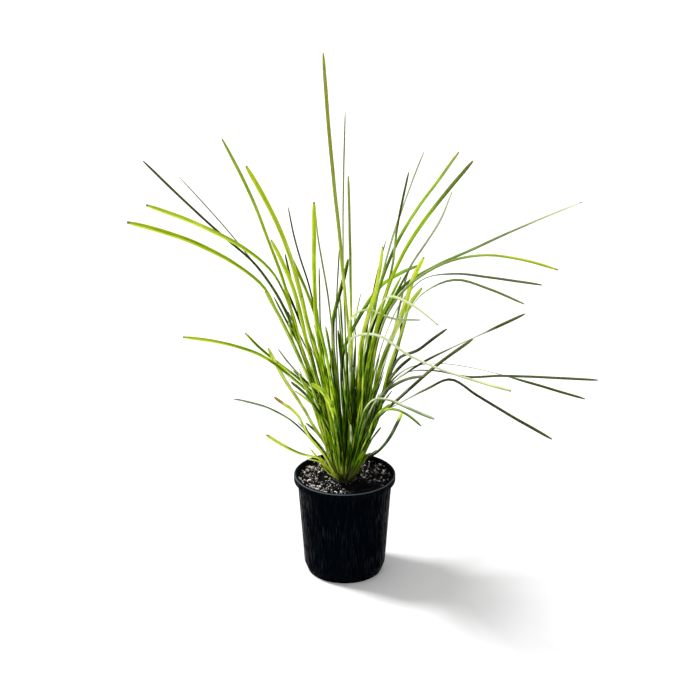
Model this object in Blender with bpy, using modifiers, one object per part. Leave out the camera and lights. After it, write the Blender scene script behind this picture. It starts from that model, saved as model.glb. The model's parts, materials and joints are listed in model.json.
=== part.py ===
"""A clump of strap-leaved ornamental grass growing in a black nursery pot.

Metres, +Z up. The origin is on the surface that the pot stands on, under the pot's axis, and the
front of the plant faces -Y. Each long blade is an object of its own. The short young blades are
one with the crown that they grow from.
"""

import math
from typing import NamedTuple

import bmesh
import bpy
import numpy as np
from mathutils import Matrix, Vector, noise

GAP = 0.0003
MERGE = 0.00002
TINY = 1e-9

# The pot: the trade's 140 mm size, thin-walled, with a turned-over rim.
POT_HEIGHT = 0.144
RIM_RADIUS = 0.070
RIM_ROUND = 0.0011
SKIRT_DROP = 0.0088
SKIRT_WALL = 0.0015
SHOULDER_RADIUS = 0.0649
SHOULDER_HEIGHT = 0.133
CHAMFER_TOP_RADIUS = 0.0563
CHAMFER_HEIGHT = 0.013
FOOT_RADIUS = 0.0513
WALL = 0.0015
FLOOR_TOP = 0.0040
FOOT_RING_INNER = 0.042
RECESS_DEPTH = 0.0020
BOSS_RADIUS = 0.014
POT_STEPS = 40

# Drainage: slots through the chamfer all round, and round holes in the underside's recess.
SLOT_COUNT = 8
SLOT_WIDTH = 0.0058
SLOT_BOTTOM = 0.0022
SLOT_TOP = 0.0128
SLOT_REACH = (0.0465, 0.0600)
FIRST_SLOT_ANGLE = math.radians(-108)
HOLE_COUNT = 4
HOLE_RADIUS = 0.004
HOLE_CIRCLE = 0.028

# The potting mix fills the pot to a little under the rim.
SOIL_LEVEL = 0.1366
SOIL_FLAT_RADIUS = 0.026
SOIL_RINGS = (0.013, SOIL_FLAT_RADIUS, 0.032, 0.038, 0.044, 0.050, 0.056, 0.060)
SOIL_STEPS = 34
LUMP_HEIGHT = 0.0021
LUMP_SIZE = 0.011
LUMP_FADE_IN = 0.004
LUMP_FADE_OUT = 0.003

# The crown is the low dome from which every blade rises.
CROWN_RADIUS = 0.024
CROWN_HEIGHT = 0.011
CROWN_STEPS = 20
ROOT_CIRCLE = 0.0215
ROOT_SPACING = 0.0044
ROOT_ROUNDS = 300
ROOT_EASE = 0.3
ROOT_SINK = 0.0025
ROOT_SINK_SHARE = 0.4
ROOT_TILT_SHARE = 0.42

# A blade is a shallow channel with a keel below it, widest close to its blunt tip.
SEGMENTS = 10
ROOT_WIDTH_SHARE = 0.56
ROOT_WIDENING = 0.55
TIP_WIDTH_SHARE = 0.6
TAPER_START = 0.85
TAPER_POWER = 1.5
CHANNEL_SHARE = 0.15
KEEL = 0.0010
DEPTH_POWER = 1.15
TURN_SWING = math.radians(22)
INWARD_LOOK = 0.35

# The young blades in the middle of the clump.
YOUNG_COUNT = 9
YOUNG_LENGTHS = (0.12, 0.22)
YOUNG_LEANS = (math.radians(6), math.radians(30))
YOUNG_WIDTHS = (0.0034, 0.0050)
YOUNG_UNEVENNESS = 0.4
YOUNG_UNEVEN_STEP = 5.1
YOUNG_TURN = math.radians(18)
YOUNG_START_TILT = 0.25
YOUNG_TIP_TILT = 1.4
GOLDEN_ANGLE = math.pi * (3 - math.sqrt(5))

# Blades that would touch are eased apart, more in depth than across the front view.
SPREAD_ROUNDS = 600
SPREAD_SHARE = 0.5
SPREAD_WEIGHTS = np.array([0.55, 1.35, 0.55])
BLADE_GAP = 0.0005
LONGEST_PUSH = 0.0012
RIM_CLEARANCE = 0.006
RIM_BAND = (0.6 * RIM_RADIUS, 1.3 * RIM_RADIUS)

# The front view in which the long blades' way points were read: a square picture that looks
# down at the plant, and whose middle pixel shows VIEW_TARGET.
VIEW_MIDDLE = 350
VIEW_SCALE = 1944.4
VIEW_TARGET = Vector((0.0073, 0, 0.3262))
VIEW_DISTANCE = 2.611
VIEW_PITCH = math.radians(21.6)
VIEW_ROOT = (345, 468)

COLOURS = {
    "pot": (0.012, 0.013, 0.015),
    "soil": (0.035, 0.024, 0.017),
    "crown": (0.21, 0.25, 0.06),
    "sunlit": (0.38, 0.58, 0.05),
    "green": (0.17, 0.33, 0.04),
    "dark": (0.05, 0.11, 0.02),
    "pale": (0.45, 0.52, 0.26),
}
ROUGHNESS = {"pot": 0.42, "soil": 0.95, "crown": 0.6}
BLADE_ROUGHNESS = 0.45


class Blade(NamedTuple):
    """A long blade: what it passes in the front view, and what that view doesn't give."""

    way: list  # columns and rows of the front view, from low on the blade to its tip
    depth: float  # how far behind the pot's axis the tip is, or in front where negative
    width: float
    turn: float = 35  # degrees that its flat side is turned away from the front
    tone: str = "green"


BLADES = {
    "left_leaf": [
        Blade([(320, 410), (303, 366), (275, 308), (265, 289), (230, 261), (190, 241), (127, 222)],
              -0.070, 0.0070, 30, "sunlit"),
        Blade([(316, 395), (300, 345), (288, 303), (272, 272), (235, 243), (190, 221), (146, 205)],
              0.070, 0.0058, 25, "sunlit"),
        Blade([(321, 405), (303, 355), (286, 312), (274, 290), (261, 271), (231, 243), (143, 161)],
              0.130, 0.0046, 55, "dark"),
        Blade([(324, 400), (262, 274), (179, 177)], 0.190, 0.0036, 66, "pale"),
        Blade([(318, 395), (297, 338), (285, 285), (273, 254), (260, 218), (248, 190), (222, 139)],
              0.030, 0.0048, 40),
        Blade([(328, 400), (308, 325), (297, 280), (280, 230), (246, 166)],
              -0.060, 0.0058, 25, "sunlit"),
        Blade([(324, 410), (305, 335), (290, 280), (271, 240)], -0.130, 0.0052, 35, "sunlit"),
        Blade([(320, 395), (307, 346), (298, 310), (285, 254)], 0.090, 0.0047, 40, "dark"),
        Blade([(330, 400), (319, 335), (312, 298), (307, 279), (299, 255), (293, 232), (288, 207)],
              0.140, 0.0046, 60, "dark"),
        Blade([(318, 400), (304, 356), (289, 303), (276, 277)], -0.030, 0.0045),
        Blade([(329, 415), (319, 360), (308, 325), (302, 296)], -0.110, 0.0064, 25, "sunlit"),
    ],
    "upright_leaf": [
        Blade([(334, 420), (318, 335), (314, 270), (314, 202)], -0.190, 0.0060, 20, "sunlit"),
        Blade([(340, 420), (331, 322), (326, 285), (323, 268), (319, 246), (316, 221), (315, 208)],
              0.110, 0.0042, 62, "pale"),
        Blade([(350, 400), (349, 335), (344, 288), (340, 240), (334, 185), (323, 53)],
              0.020, 0.0052, 30),
        Blade([(347, 420), (343, 250), (345, 111)], 0.150, 0.0034, 55, "pale"),
        Blade([(350, 420), (351, 323), (350, 245), (348, 176)], -0.120, 0.0044, 35),
        Blade([(336, 400), (333, 345), (333, 320), (338, 299), (348, 259)], 0.180, 0.0048),
        Blade([(356, 430), (364, 330), (376, 290), (383, 247)], -0.150, 0.0070, 20, "sunlit"),
        Blade([(336, 410), (329, 365), (322, 338), (320, 315), (319, 267)],
              0.060, 0.0040, 50, "dark"),
        Blade([(336, 430), (326, 355), (318, 322)], -0.200, 0.0048),
    ],
    "right_leaf": [
        Blade([(360, 410), (372, 330), (391, 276), (394, 253), (396, 236), (400, 213), (409, 172)],
              0.060, 0.0045, 40, "dark"),
        Blade([(362, 410), (376, 300), (386, 269), (394, 250), (408, 223), (432, 189), (459, 152)],
              0.110, 0.0048, 35, "sunlit"),
        Blade([(362, 420), (384, 300), (400, 260), (425, 220), (473, 161)], -0.050, 0.0052, 35),
        Blade([(357, 430), (380, 285), (400, 215), (424, 152)], 0.200, 0.0036, 55, "pale"),
        Blade([(364, 420), (398, 315), (415, 258), (430, 238), (452, 192)],
              0.150, 0.0038, 55, "pale"),
        Blade([(366, 420), (390, 305), (410, 280), (440, 264), (515, 230), (582, 202)],
              0.100, 0.0042, 35),
        Blade([(368, 420), (396, 300), (440, 265), (490, 255), (558, 270)],
              -0.080, 0.0042, 30, "sunlit"),
        Blade([(366, 420), (398, 308), (420, 281), (470, 275), (542, 285)],
              0.190, 0.0036, 55, "dark"),
        Blade([(370, 420), (404, 318), (435, 285), (466, 280), (496, 292), (524, 304)],
              -0.160, 0.0034),
        Blade([(362, 400), (378, 310), (395, 295), (411, 304), (438, 325)],
              -0.210, 0.0034, 50, "pale"),
        Blade([(374, 430), (392, 360), (403, 330), (410, 305), (422, 288)],
              -0.100, 0.0050, 30, "sunlit"),
        Blade([(366, 430), (382, 362), (397, 327), (403, 312), (409, 291), (414, 277), (424, 257)],
              -0.010, 0.0056, 30, "sunlit"),
        Blade([(372, 425), (390, 375), (398, 348), (401, 335), (401, 315)],
              0.120, 0.0042, 35, "dark"),
        Blade([(342, 385), (345, 347), (362, 313), (378, 289), (393, 277), (408, 270), (419, 265)],
              0.230, 0.0052),
        Blade([(360, 430), (382, 322), (398, 290), (409, 270)], 0.040, 0.0045, 40, "dark"),
    ],
    "low_right_leaf": [
        Blade([(372, 412), (385, 391), (400, 378), (417, 366), (458, 345), (525, 314)],
              -0.110, 0.0039, 35, "dark"),
        Blade([(368, 430), (388, 408), (404, 394), (432, 369), (452, 354), (473, 339)],
              -0.170, 0.0046, 35, "dark"),
        Blade([(366, 436), (384, 412), (404, 401), (428, 388), (449, 379), (461, 385), (552, 439)],
              -0.120, 0.0039, 35, "dark"),
        Blade([(374, 408), (390, 388), (416, 368), (450, 375), (492, 376), (540, 377), (598, 380)],
              -0.040, 0.0040, 35, "dark"),
        Blade([(372, 412), (388, 385), (402, 371), (420, 365), (478, 369), (527, 382), (585, 399)],
              0.060, 0.0036, 40, "dark"),
        Blade([(352, 400), (350, 350), (356, 331), (372, 332), (400, 349), (433, 366), (511, 391)],
              -0.230, 0.0046, 40, "pale"),
        Blade([(351, 400), (350, 330), (356, 309), (368, 310), (384, 316), (420, 320)],
              -0.130, 0.0036, 45, "pale"),
        Blade([(374, 412), (388, 380), (402, 356), (418, 350), (434, 338), (447, 329)],
              0.030, 0.0046, 35, "dark"),
        Blade([(370, 412), (384, 392), (396, 384), (408, 379), (424, 376)],
              -0.200, 0.0041, 35, "dark"),
        Blade([(358, 436), (364, 412), (370, 402), (382, 399), (405, 407), (434, 419)],
              -0.220, 0.0043, 40, "pale"),
        Blade([(363, 442), (374, 422), (389, 409), (403, 412), (421, 426)], -0.180, 0.0038),
        Blade([(373, 456), (388, 440), (396, 426), (403, 411)], 0.110, 0.0046, 35, "dark"),
        Blade([(368, 425), (384, 390), (398, 369), (412, 357)], -0.060, 0.0046, 35, "dark"),
    ],
    "low_left_leaf": [
        Blade([(332, 425), (320, 403), (303, 387), (262, 356), (183, 337)],
              -0.130, 0.0050, 30, "sunlit"),
        Blade([(326, 420), (308, 388), (285, 368), (262, 350), (245, 333)], 0.010, 0.0046),
        Blade([(328, 447), (316, 430), (304, 409), (288, 385), (268, 348)],
              -0.060, 0.0046, 30, "sunlit"),
        Blade([(328, 420), (308, 383), (292, 367), (278, 349)], 0.150, 0.0034, 45, "dark"),
        Blade([(326, 458), (315, 444), (305, 430), (297, 414), (287, 406), (274, 397)],
              -0.120, 0.0044, 30, "sunlit"),
        Blade([(325, 456), (311, 440), (300, 428), (283, 415), (256, 404), (234, 399)],
              0.060, 0.0035, 45, "dark"),
        Blade([(324, 461), (306, 455), (290, 449), (266, 435)], 0.020, 0.0042, 35, "sunlit"),
        Blade([(332, 443), (321, 416), (305, 394), (291, 382)], -0.190, 0.0045, 35, "dark"),
        Blade([(340, 450), (332, 410), (322, 391), (311, 384)], -0.230, 0.0058, 25, "sunlit"),
    ],
}

# Shorter blades that are one with the crown, out to where the front view shows their tips.
CROWN_BLADES = [
    Blade([(334, 430), (314, 348), (289, 255)], 0.160, 0.0042, 50),
    Blade([(342, 430), (336, 330), (339, 250)], -0.160, 0.0038, 55),
    Blade([(356, 430), (370, 310), (386, 240)], 0.170, 0.0036, 55),
    Blade([(346, 430), (343, 350), (340, 297)], 0.210, 0.0040),
    Blade([(352, 420), (354, 330), (361, 293)], 0.220, 0.0036, 55),
    Blade([(358, 430), (378, 325), (392, 295), (401, 277)], -0.170, 0.0044),
    Blade([(361, 456), (371, 440), (381, 427)], 0.060, 0.0036),
    Blade([(368, 436), (380, 412), (392, 403)], -0.150, 0.0038),
    Blade([(366, 430), (382, 393), (396, 383)], 0.170, 0.0040),
    Blade([(328, 450), (318, 434), (306, 423)], 0.140, 0.0036),
    Blade([(312, 388), (303, 366), (285, 327), (265, 291)], -0.150, 0.0048, 30),
    Blade([(330, 410), (322, 362), (316, 305)], 0.020, 0.0046),
    Blade([(326, 390), (316, 318), (304, 286), (289, 253)], 0.010, 0.0050, 30),
    Blade([(322, 400), (310, 350), (296, 312), (284, 284)], 0.110, 0.0044, 35),
    Blade([(345, 440), (344, 400), (341, 362), (338, 330)], 0.060, 0.0044, 35),
    Blade([(318, 396), (306, 360), (290, 328), (274, 297)], 0.080, 0.0036, 35),
]


# ---- Scene, collections and materials ----


def clear_scene():
    for obj in list(bpy.data.objects):
        bpy.data.objects.remove(obj, do_unlink=True)


def new_collection(name, hidden=False):
    collection = bpy.data.collections.new(name)
    bpy.context.scene.collection.children.link(collection)
    collection.hide_render = hidden
    return collection


def new_material(name):
    material = bpy.data.materials.new(name)
    material.use_nodes = True
    shader = material.node_tree.nodes["Principled BSDF"]
    shader.inputs["Base Color"].default_value = (*COLOURS[name], 1)
    shader.inputs["Roughness"].default_value = ROUGHNESS.get(name, BLADE_ROUGHNESS)
    shader.inputs["Metallic"].default_value = 0
    return material


def object_from(shape, name, collection, material=None):
    """An object that holds this bmesh, with its faces turned outwards."""
    bmesh.ops.recalc_face_normals(shape, faces=shape.faces)
    mesh = bpy.data.meshes.new(name)
    shape.to_mesh(mesh)
    shape.free()
    if material:
        mesh.materials.append(material)
    obj = bpy.data.objects.new(name, mesh)
    collection.objects.link(obj)
    return obj


def as_cutter(obj):
    obj.hide_render = True
    obj.display_type = "WIRE"
    return obj


def boolean(obj, other, operation):
    modifier = obj.modifiers.new(other.name, "BOOLEAN")
    modifier.operation = operation
    modifier.solver = "EXACT"
    modifier.object = other


# ---- Pot ----


def inner_radius(height):
    """The radius of the pot's inner wall at this height, above the chamfer."""
    share = (height - CHAMFER_HEIGHT) / (SHOULDER_HEIGHT - CHAMFER_HEIGHT)
    return CHAMFER_TOP_RADIUS + share * (SHOULDER_RADIUS - CHAMFER_TOP_RADIUS) - WALL


def pot_profile():
    """Radius and height from the middle of the floor, up the inside and down the outside."""
    skirt_inside = RIM_RADIUS - SKIRT_WALL
    skirt_bottom = POT_HEIGHT - SKIRT_DROP
    rim_underside = POT_HEIGHT - SKIRT_WALL
    rim_inside = inner_radius(POT_HEIGHT)
    recess_side = 0.001
    return [
        (0, FLOOR_TOP),
        (FOOT_RADIUS - WALL, FLOOR_TOP),
        (inner_radius(CHAMFER_HEIGHT), CHAMFER_HEIGHT),
        (inner_radius(SHOULDER_HEIGHT), SHOULDER_HEIGHT),
        (rim_inside, POT_HEIGHT - RIM_ROUND),
        (rim_inside + RIM_ROUND, POT_HEIGHT),
        (RIM_RADIUS - RIM_ROUND, POT_HEIGHT),
        (RIM_RADIUS, POT_HEIGHT - RIM_ROUND),
        (RIM_RADIUS, skirt_bottom),
        (skirt_inside, skirt_bottom),
        (skirt_inside, rim_underside),
        (SHOULDER_RADIUS + GAP, rim_underside),
        (SHOULDER_RADIUS, SHOULDER_HEIGHT),
        (CHAMFER_TOP_RADIUS, CHAMFER_HEIGHT),
        (FOOT_RADIUS, 0),
        (FOOT_RING_INNER, 0),
        (FOOT_RING_INNER - recess_side, RECESS_DEPTH),
        (BOSS_RADIUS + recess_side, RECESS_DEPTH),
        (BOSS_RADIUS, 0),
        (0, 0),
    ]


def turned_object(name, profile, steps, collection, material):
    """A profile of radii and heights, turned round the Z axis by a Screw modifier."""
    shape = bmesh.new()
    points = [shape.verts.new((radius, 0, height)) for radius, height in profile]
    for start, end in zip(points, points[1:]):
        shape.edges.new((start, end))
    obj = object_from(shape, name, collection, material)
    screw = obj.modifiers.new("turn", "SCREW")
    screw.steps = steps
    screw.render_steps = steps
    screw.use_merge_vertices = True
    screw.merge_threshold = MERGE
    return obj


def drain_slots(collection):
    """Boxes that cut through the chamfer, one for each slot."""
    shape = bmesh.new()
    near, far = SLOT_REACH
    for index in range(SLOT_COUNT):
        angle = FIRST_SLOT_ANGLE + index * math.tau / SLOT_COUNT
        box = bmesh.ops.create_cube(shape, size=1)["verts"]
        middle = ((near + far) / 2, 0, (SLOT_BOTTOM + SLOT_TOP) / 2)
        bmesh.ops.scale(shape, vec=(far - near, SLOT_WIDTH, SLOT_TOP - SLOT_BOTTOM), verts=box)
        bmesh.ops.translate(shape, vec=middle, verts=box)
        bmesh.ops.rotate(shape, cent=(0, 0, 0), matrix=Matrix.Rotation(angle, 3, "Z"), verts=box)
    return as_cutter(object_from(shape, "drain_slots", collection))


def drain_holes(collection):
    """Short rods that cut through the recess in the underside."""
    shape = bmesh.new()
    for index in range(HOLE_COUNT):
        angle = (index + 0.5) * math.tau / HOLE_COUNT
        rod = bmesh.ops.create_cone(
            shape,
            cap_ends=True,
            segments=12,
            radius1=HOLE_RADIUS,
            radius2=HOLE_RADIUS,
            depth=4 * FLOOR_TOP,
        )["verts"]
        middle = (HOLE_CIRCLE * math.cos(angle), HOLE_CIRCLE * math.sin(angle), FLOOR_TOP / 2)
        bmesh.ops.translate(shape, vec=middle, verts=rod)
    return as_cutter(object_from(shape, "drain_holes", collection))


def make_pot(parts, cutters):
    pot = turned_object("pot", pot_profile(), POT_STEPS, parts, new_material("pot"))
    boolean(pot, drain_slots(cutters), "DIFFERENCE")
    boolean(pot, drain_holes(cutters), "DIFFERENCE")
    pot.data.shade_smooth()


# ---- Potting mix ----


def make_soil(parts):
    """A turned body a little smaller than the pot's inside, its top raised in lumps."""
    shape = bmesh.new()
    foot = (FOOT_RADIUS - WALL - GAP, FLOOR_TOP + GAP)
    chamfer = (inner_radius(CHAMFER_HEIGHT) - GAP, CHAMFER_HEIGHT)
    edge = (inner_radius(SOIL_LEVEL) - 3 * GAP, SOIL_LEVEL)
    profile = [(0, foot[1]), foot, chamfer, edge]
    profile += [(radius, SOIL_LEVEL) for radius in reversed(SOIL_RINGS)]
    profile.append((0, SOIL_LEVEL))
    points = [shape.verts.new((radius, 0, height)) for radius, height in profile]
    lines = [shape.edges.new(ends) for ends in zip(points, points[1:])]
    bmesh.ops.spin(
        shape,
        geom=points + lines,
        cent=(0, 0, 0),
        axis=(0, 0, 1),
        angle=math.tau,
        steps=SOIL_STEPS,
        use_merge=True,
    )
    bmesh.ops.remove_doubles(shape, verts=shape.verts, dist=MERGE)
    for vert in shape.verts:
        if abs(vert.co.z - SOIL_LEVEL) < GAP:
            vert.co.z += soil_lump(vert.co)
    obj = object_from(shape, "potting_mix", parts, new_material("soil"))
    obj.data.shade_smooth()


def soil_lump(place):
    """How far the mix stands above its level here: nothing under the crown and at the wall."""
    radius = place.to_2d().length
    outside_crown = min(max((radius - SOIL_FLAT_RADIUS) / LUMP_FADE_IN, 0), 1)
    inside_wall = min(max((inner_radius(SOIL_LEVEL) - radius) / LUMP_FADE_OUT, 0), 1)
    return LUMP_HEIGHT * outside_crown * inside_wall * noise.noise(place / LUMP_SIZE)


# ---- Where each blade starts ----


def dome_height(radius):
    """Height of the crown's surface at this distance from the axis."""
    ball = (CROWN_RADIUS**2 + CROWN_HEIGHT**2) / (2 * CROWN_HEIGHT)
    base = SOIL_LEVEL + GAP
    return base + CROWN_HEIGHT - ball + math.sqrt(ball**2 - radius**2)


def root_places(headings, leans):
    """A root on the crown for each blade: on the side it heads for, and further out the more it leans."""
    order = np.argsort(np.argsort(leans))
    radii = ROOT_CIRCLE * np.sqrt((order + 0.5) / len(order))
    places = np.stack([radii * np.cos(headings), radii * np.sin(headings)], axis=1)
    for _ in range(ROOT_ROUNDS):
        apart = places[:, None] - places[None]
        distance = np.linalg.norm(apart, axis=2) + np.eye(len(places))
        push = np.clip(ROOT_SPACING - distance, 0, None) * (1 - np.eye(len(places)))
        places += ROOT_EASE * (apart / distance[..., None] * push[..., None]).sum(axis=1)
        reach = np.linalg.norm(places, axis=1, keepdims=True)
        places *= np.minimum(1, ROOT_CIRCLE / np.maximum(reach, TINY))
    return places


# ---- Centrelines ----


def front_view(column, row, depth):
    """The point, this far behind the pot's axis, that the front view shows at this pixel."""
    forward = Vector((0, math.cos(VIEW_PITCH), -math.sin(VIEW_PITCH)))
    up = Vector((0, math.sin(VIEW_PITCH), math.cos(VIEW_PITCH)))
    eye = VIEW_TARGET - VIEW_DISTANCE * forward
    ray = VIEW_SCALE * forward + (VIEW_MIDDLE - row) * up
    ray.x = column - VIEW_MIDDLE
    return eye + ray * ((depth - eye.y) / ray.y)


def smooth_line(points, count):
    """A natural cubic spline through the points, as count + 1 evenly spaced points."""
    points = np.array(points, float)
    knots = np.append(0, np.cumsum(np.linalg.norm(np.diff(points, axis=0), axis=1)))
    gaps = np.diff(knots)
    system = np.eye(len(points))
    slopes = np.zeros_like(points)
    for index in range(1, len(points) - 1):
        before, after = gaps[index - 1], gaps[index]
        system[index, index - 1 : index + 2] = before, 2 * (before + after), after
        rise = (points[index + 1] - points[index]) / after
        fall = (points[index] - points[index - 1]) / before
        slopes[index] = 6 * (rise - fall)
    bends = np.linalg.solve(system, slopes)
    along = np.linspace(0, knots[-1], 40 * count)
    span = np.clip(np.searchsorted(knots, along, side="right") - 1, 0, len(gaps) - 1)
    width = gaps[span][:, None]
    right = (along - knots[span])[:, None] / width
    left = 1 - right
    curve = left * points[span] + right * points[span + 1]
    curve += ((left**3 - left) * bends[span] + (right**3 - right) * bends[span + 1]) * width**2 / 6
    lengths = np.append(0, np.cumsum(np.linalg.norm(np.diff(curve, axis=0), axis=1)))
    even = np.linspace(0, lengths[-1], count + 1)
    return np.stack([np.interp(even, lengths, curve[:, axis]) for axis in range(3)], axis=1)


def way_points(blade, root):
    """The blade's way points in space: its depth grows along it, slowly at first."""
    seen = np.array([VIEW_ROOT, *blade.way], float)
    lengths = np.append(0, np.cumsum(np.linalg.norm(np.diff(seen, axis=0), axis=1)))
    shares = (lengths / lengths[-1]) ** DEPTH_POWER
    depths = root[1] + shares * (blade.depth - root[1])
    return [front_view(*pixel, depth) for pixel, depth in zip(blade.way, depths[1:])]


def young_line(heading, lean, length, root):
    """A young blade's centreline, which leans out more and more towards its tip."""
    line = [np.array(root)]
    for index in range(SEGMENTS):
        share = (index + 0.5) / SEGMENTS
        tilt = lean * (YOUNG_START_TILT + (YOUNG_TIP_TILT - YOUNG_START_TILT) * share)
        step = (
            math.sin(tilt) * math.cos(heading),
            math.sin(tilt) * math.sin(heading),
            math.cos(tilt),
        )
        line.append(line[-1] + np.array(step) * length / SEGMENTS)
    return np.array(line)


def width_shares():
    """The blade's width at each station, as a share of its greatest width."""
    along = np.linspace(0, 1, SEGMENTS + 1)
    widening = np.minimum(1, ROOT_WIDTH_SHARE + ROOT_WIDENING * along)
    past_start = np.clip((along - TAPER_START) / (1 - TAPER_START), 0, None)
    return widening * (1 - (1 - TIP_WIDTH_SHARE) * past_start**TAPER_POWER)


def stations(lines, toward, turns):
    """Tangents, and the directions across and out of each blade's flat side, at every station."""
    tangents = np.gradient(lines, axis=1)
    tangents /= np.linalg.norm(tangents, axis=2, keepdims=True)
    flat = toward[:, None] - (tangents * toward[:, None]).sum(axis=2, keepdims=True) * tangents
    flat /= np.linalg.norm(flat, axis=2, keepdims=True)
    across = np.cross(tangents, flat)
    swing = np.linspace(-0.5, 0.5, lines.shape[1]) * TURN_SWING
    angle = (turns[:, None] + np.sign(turns)[:, None] * swing)[..., None]
    sides = np.cos(angle) * across - np.sin(angle) * flat
    normals = np.cos(angle) * flat + np.sin(angle) * across
    return sides, normals


# ---- Easing the blades apart ----


def dot(first, second):
    return (first * second).sum(axis=-1)


def nearest_shares(start_a, run_a, start_b, run_b):
    """How far along its own segment each of two segments comes nearest to the other."""
    between = start_a - start_b
    square_a, square_b, cross = dot(run_a, run_a), dot(run_b, run_b), dot(run_a, run_b)
    skew = np.maximum(square_a * square_b - cross**2, TINY**2)
    share_a = (cross * dot(run_b, between) - square_b * dot(run_a, between)) / skew
    share_a = np.clip(share_a, 0, 1)
    share_b = np.clip((cross * share_a + dot(run_b, between)) / square_b, 0, 1)
    share_a = np.clip((cross * share_b - dot(run_a, between)) / square_a, 0, 1)
    return share_a, share_b


def close_pairs(lines, reach):
    """Segments of two different blades that are near enough to matter, as blade and segment numbers."""
    middles = (lines[:, 1:] + lines[:, :-1]) / 2
    halves = np.linalg.norm(np.diff(lines, axis=1), axis=2) / 2
    found = []
    for blade in range(len(lines) - 1):
        apart = np.linalg.norm(middles[blade][:, None, None] - middles[None, blade + 1 :], axis=3)
        limit = halves[blade][:, None, None] + halves[None, blade + 1 :] + reach
        segment, other, other_segment = np.nonzero(apart < limit)
        own = np.full_like(segment, blade)
        found.append(np.stack([own, segment, other + blade + 1, other_segment]))
    return np.concatenate(found, axis=1)


def overlaps(lines, widths, sides, normals, pairs):
    """For each pair: how much room is missing, in which direction, and where on both segments."""
    blade_a, segment_a, blade_b, segment_b = pairs
    start_a, start_b = lines[blade_a, segment_a], lines[blade_b, segment_b]
    run_a = lines[blade_a, segment_a + 1] - start_a
    run_b = lines[blade_b, segment_b + 1] - start_b
    share_a, share_b = nearest_shares(start_a, run_a, start_b, run_b)
    apart = start_a + run_a * share_a[:, None] - start_b - run_b * share_b[:, None]
    distance = np.linalg.norm(apart, axis=1)
    crossing = np.cross(run_a, run_b) + TINY
    crossing /= np.linalg.norm(crossing, axis=1, keepdims=True)
    straight = apart / (distance[:, None] + TINY)
    direction = np.where(distance[:, None] > GAP, straight, crossing)
    needed = np.full(len(distance), BLADE_GAP)
    for blade, segment, share in ((blade_a, segment_a, share_a), (blade_b, segment_b, share_b)):
        near = segment + (share > 0.5)
        growth = widths[blade, segment + 1] - widths[blade, segment]
        half_width = (widths[blade, segment] + share * growth) / 2
        half_depth = CHANNEL_SHARE * half_width + KEEL / 2
        needed += half_width * abs(dot(direction, sides[blade, near]))
        needed += half_depth * abs(dot(direction, normals[blade, near]))
    return needed - distance, direction, share_a, share_b


def spread(lines, widths, toward, turns):
    """Eases blades that would touch apart, with their roots held and their curves kept smooth."""
    reach = 2 * widths.max()
    for turn in range(SPREAD_ROUNDS):
        if turn % 10 == 0:
            pairs = close_pairs(lines, reach)
        sides, normals = stations(lines, toward, turns)
        missing, direction, share_a, share_b = overlaps(lines, widths, sides, normals, pairs)
        tight = missing > 0
        push = direction[tight] * (SPREAD_SHARE * missing[tight])[:, None] * SPREAD_WEIGHTS
        moves = np.zeros_like(lines)
        ends = (
            (pairs[0], pairs[1], share_a, 1),
            (pairs[2], pairs[3], share_b, -1),
        )
        for blade, segment, share, sign in ends:
            share = share[tight][:, None]
            np.add.at(moves, (blade[tight], segment[tight]), sign * (1 - share) * push)
            np.add.at(moves, (blade[tight], segment[tight] + 1), sign * share * push)
        moves[:, 0] = 0
        for _ in range(2):
            moves[:, 1:-1] = 0.5 * moves[:, 1:-1] + 0.25 * (moves[:, :-2] + moves[:, 2:])
        size = np.linalg.norm(moves, axis=2, keepdims=True)
        lines = lines + moves * np.minimum(1, LONGEST_PUSH / np.maximum(size, TINY))
        lines = clear_of_rim(lines)
    print("tight pairs left:", int(tight.sum()), "worst:", round(1000 * float(missing.max()), 2), "mm")
    return lines


def clear_of_rim(lines):
    """Lifts what would touch the pot's rim, where a blade leans out over it."""
    radius = np.linalg.norm(lines[..., :2], axis=2)
    over_rim = (radius > RIM_BAND[0]) & (radius < RIM_BAND[1])
    lowest = POT_HEIGHT + RIM_CLEARANCE
    lines[..., 2] = np.where(over_rim, np.maximum(lines[..., 2], lowest), lines[..., 2])
    return lines


# ---- Blades ----


def add_blade(shape, line, widths, sides, normals):
    """A blade as an extruded run of its section: two edges, the channel between, the keel below."""
    sections = []
    for place, width, side, normal in zip(line, widths, sides, normals):
        lift = CHANNEL_SHARE * width / 2
        across = side * width / 2
        sections.append(
            [
                place - across + normal * lift,
                place + normal * (KEEL / 2 - lift),
                place + across + normal * lift,
                place - normal * (KEEL / 2 + lift),
            ]
        )
    root = end = shape.faces.new([shape.verts.new(corner) for corner in sections[0]])
    for section in sections[1:]:
        made = bmesh.ops.extrude_face_region(shape, geom=[end])["geom"]
        if end is not root:
            bmesh.ops.delete(shape, geom=[end], context="FACES_ONLY")
        end = next(item for item in made if isinstance(item, bmesh.types.BMFace))
        for vert, corner in zip(end.verts, section):
            vert.co = corner


def young_blades():
    """Heading, lean, length and width of each young blade: a golden-angle whorl, tallest inside."""
    shares = [(index + 0.5) / YOUNG_COUNT for index in range(YOUNG_COUNT)]
    lowest, longest = YOUNG_LENGTHS
    least, most = YOUNG_LEANS
    narrow, wide = YOUNG_WIDTHS
    for index, share in enumerate(shares):
        uneven = 0.5 + 0.5 * math.sin(YOUNG_UNEVEN_STEP * index)
        shorter = (1 - YOUNG_UNEVENNESS) * share + YOUNG_UNEVENNESS * uneven
        heading = index * GOLDEN_ANGLE
        lean = least + (most - least) * share
        length = longest - (longest - lowest) * shorter
        yield heading, lean, length, narrow + (wide - narrow) * uneven


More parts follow.
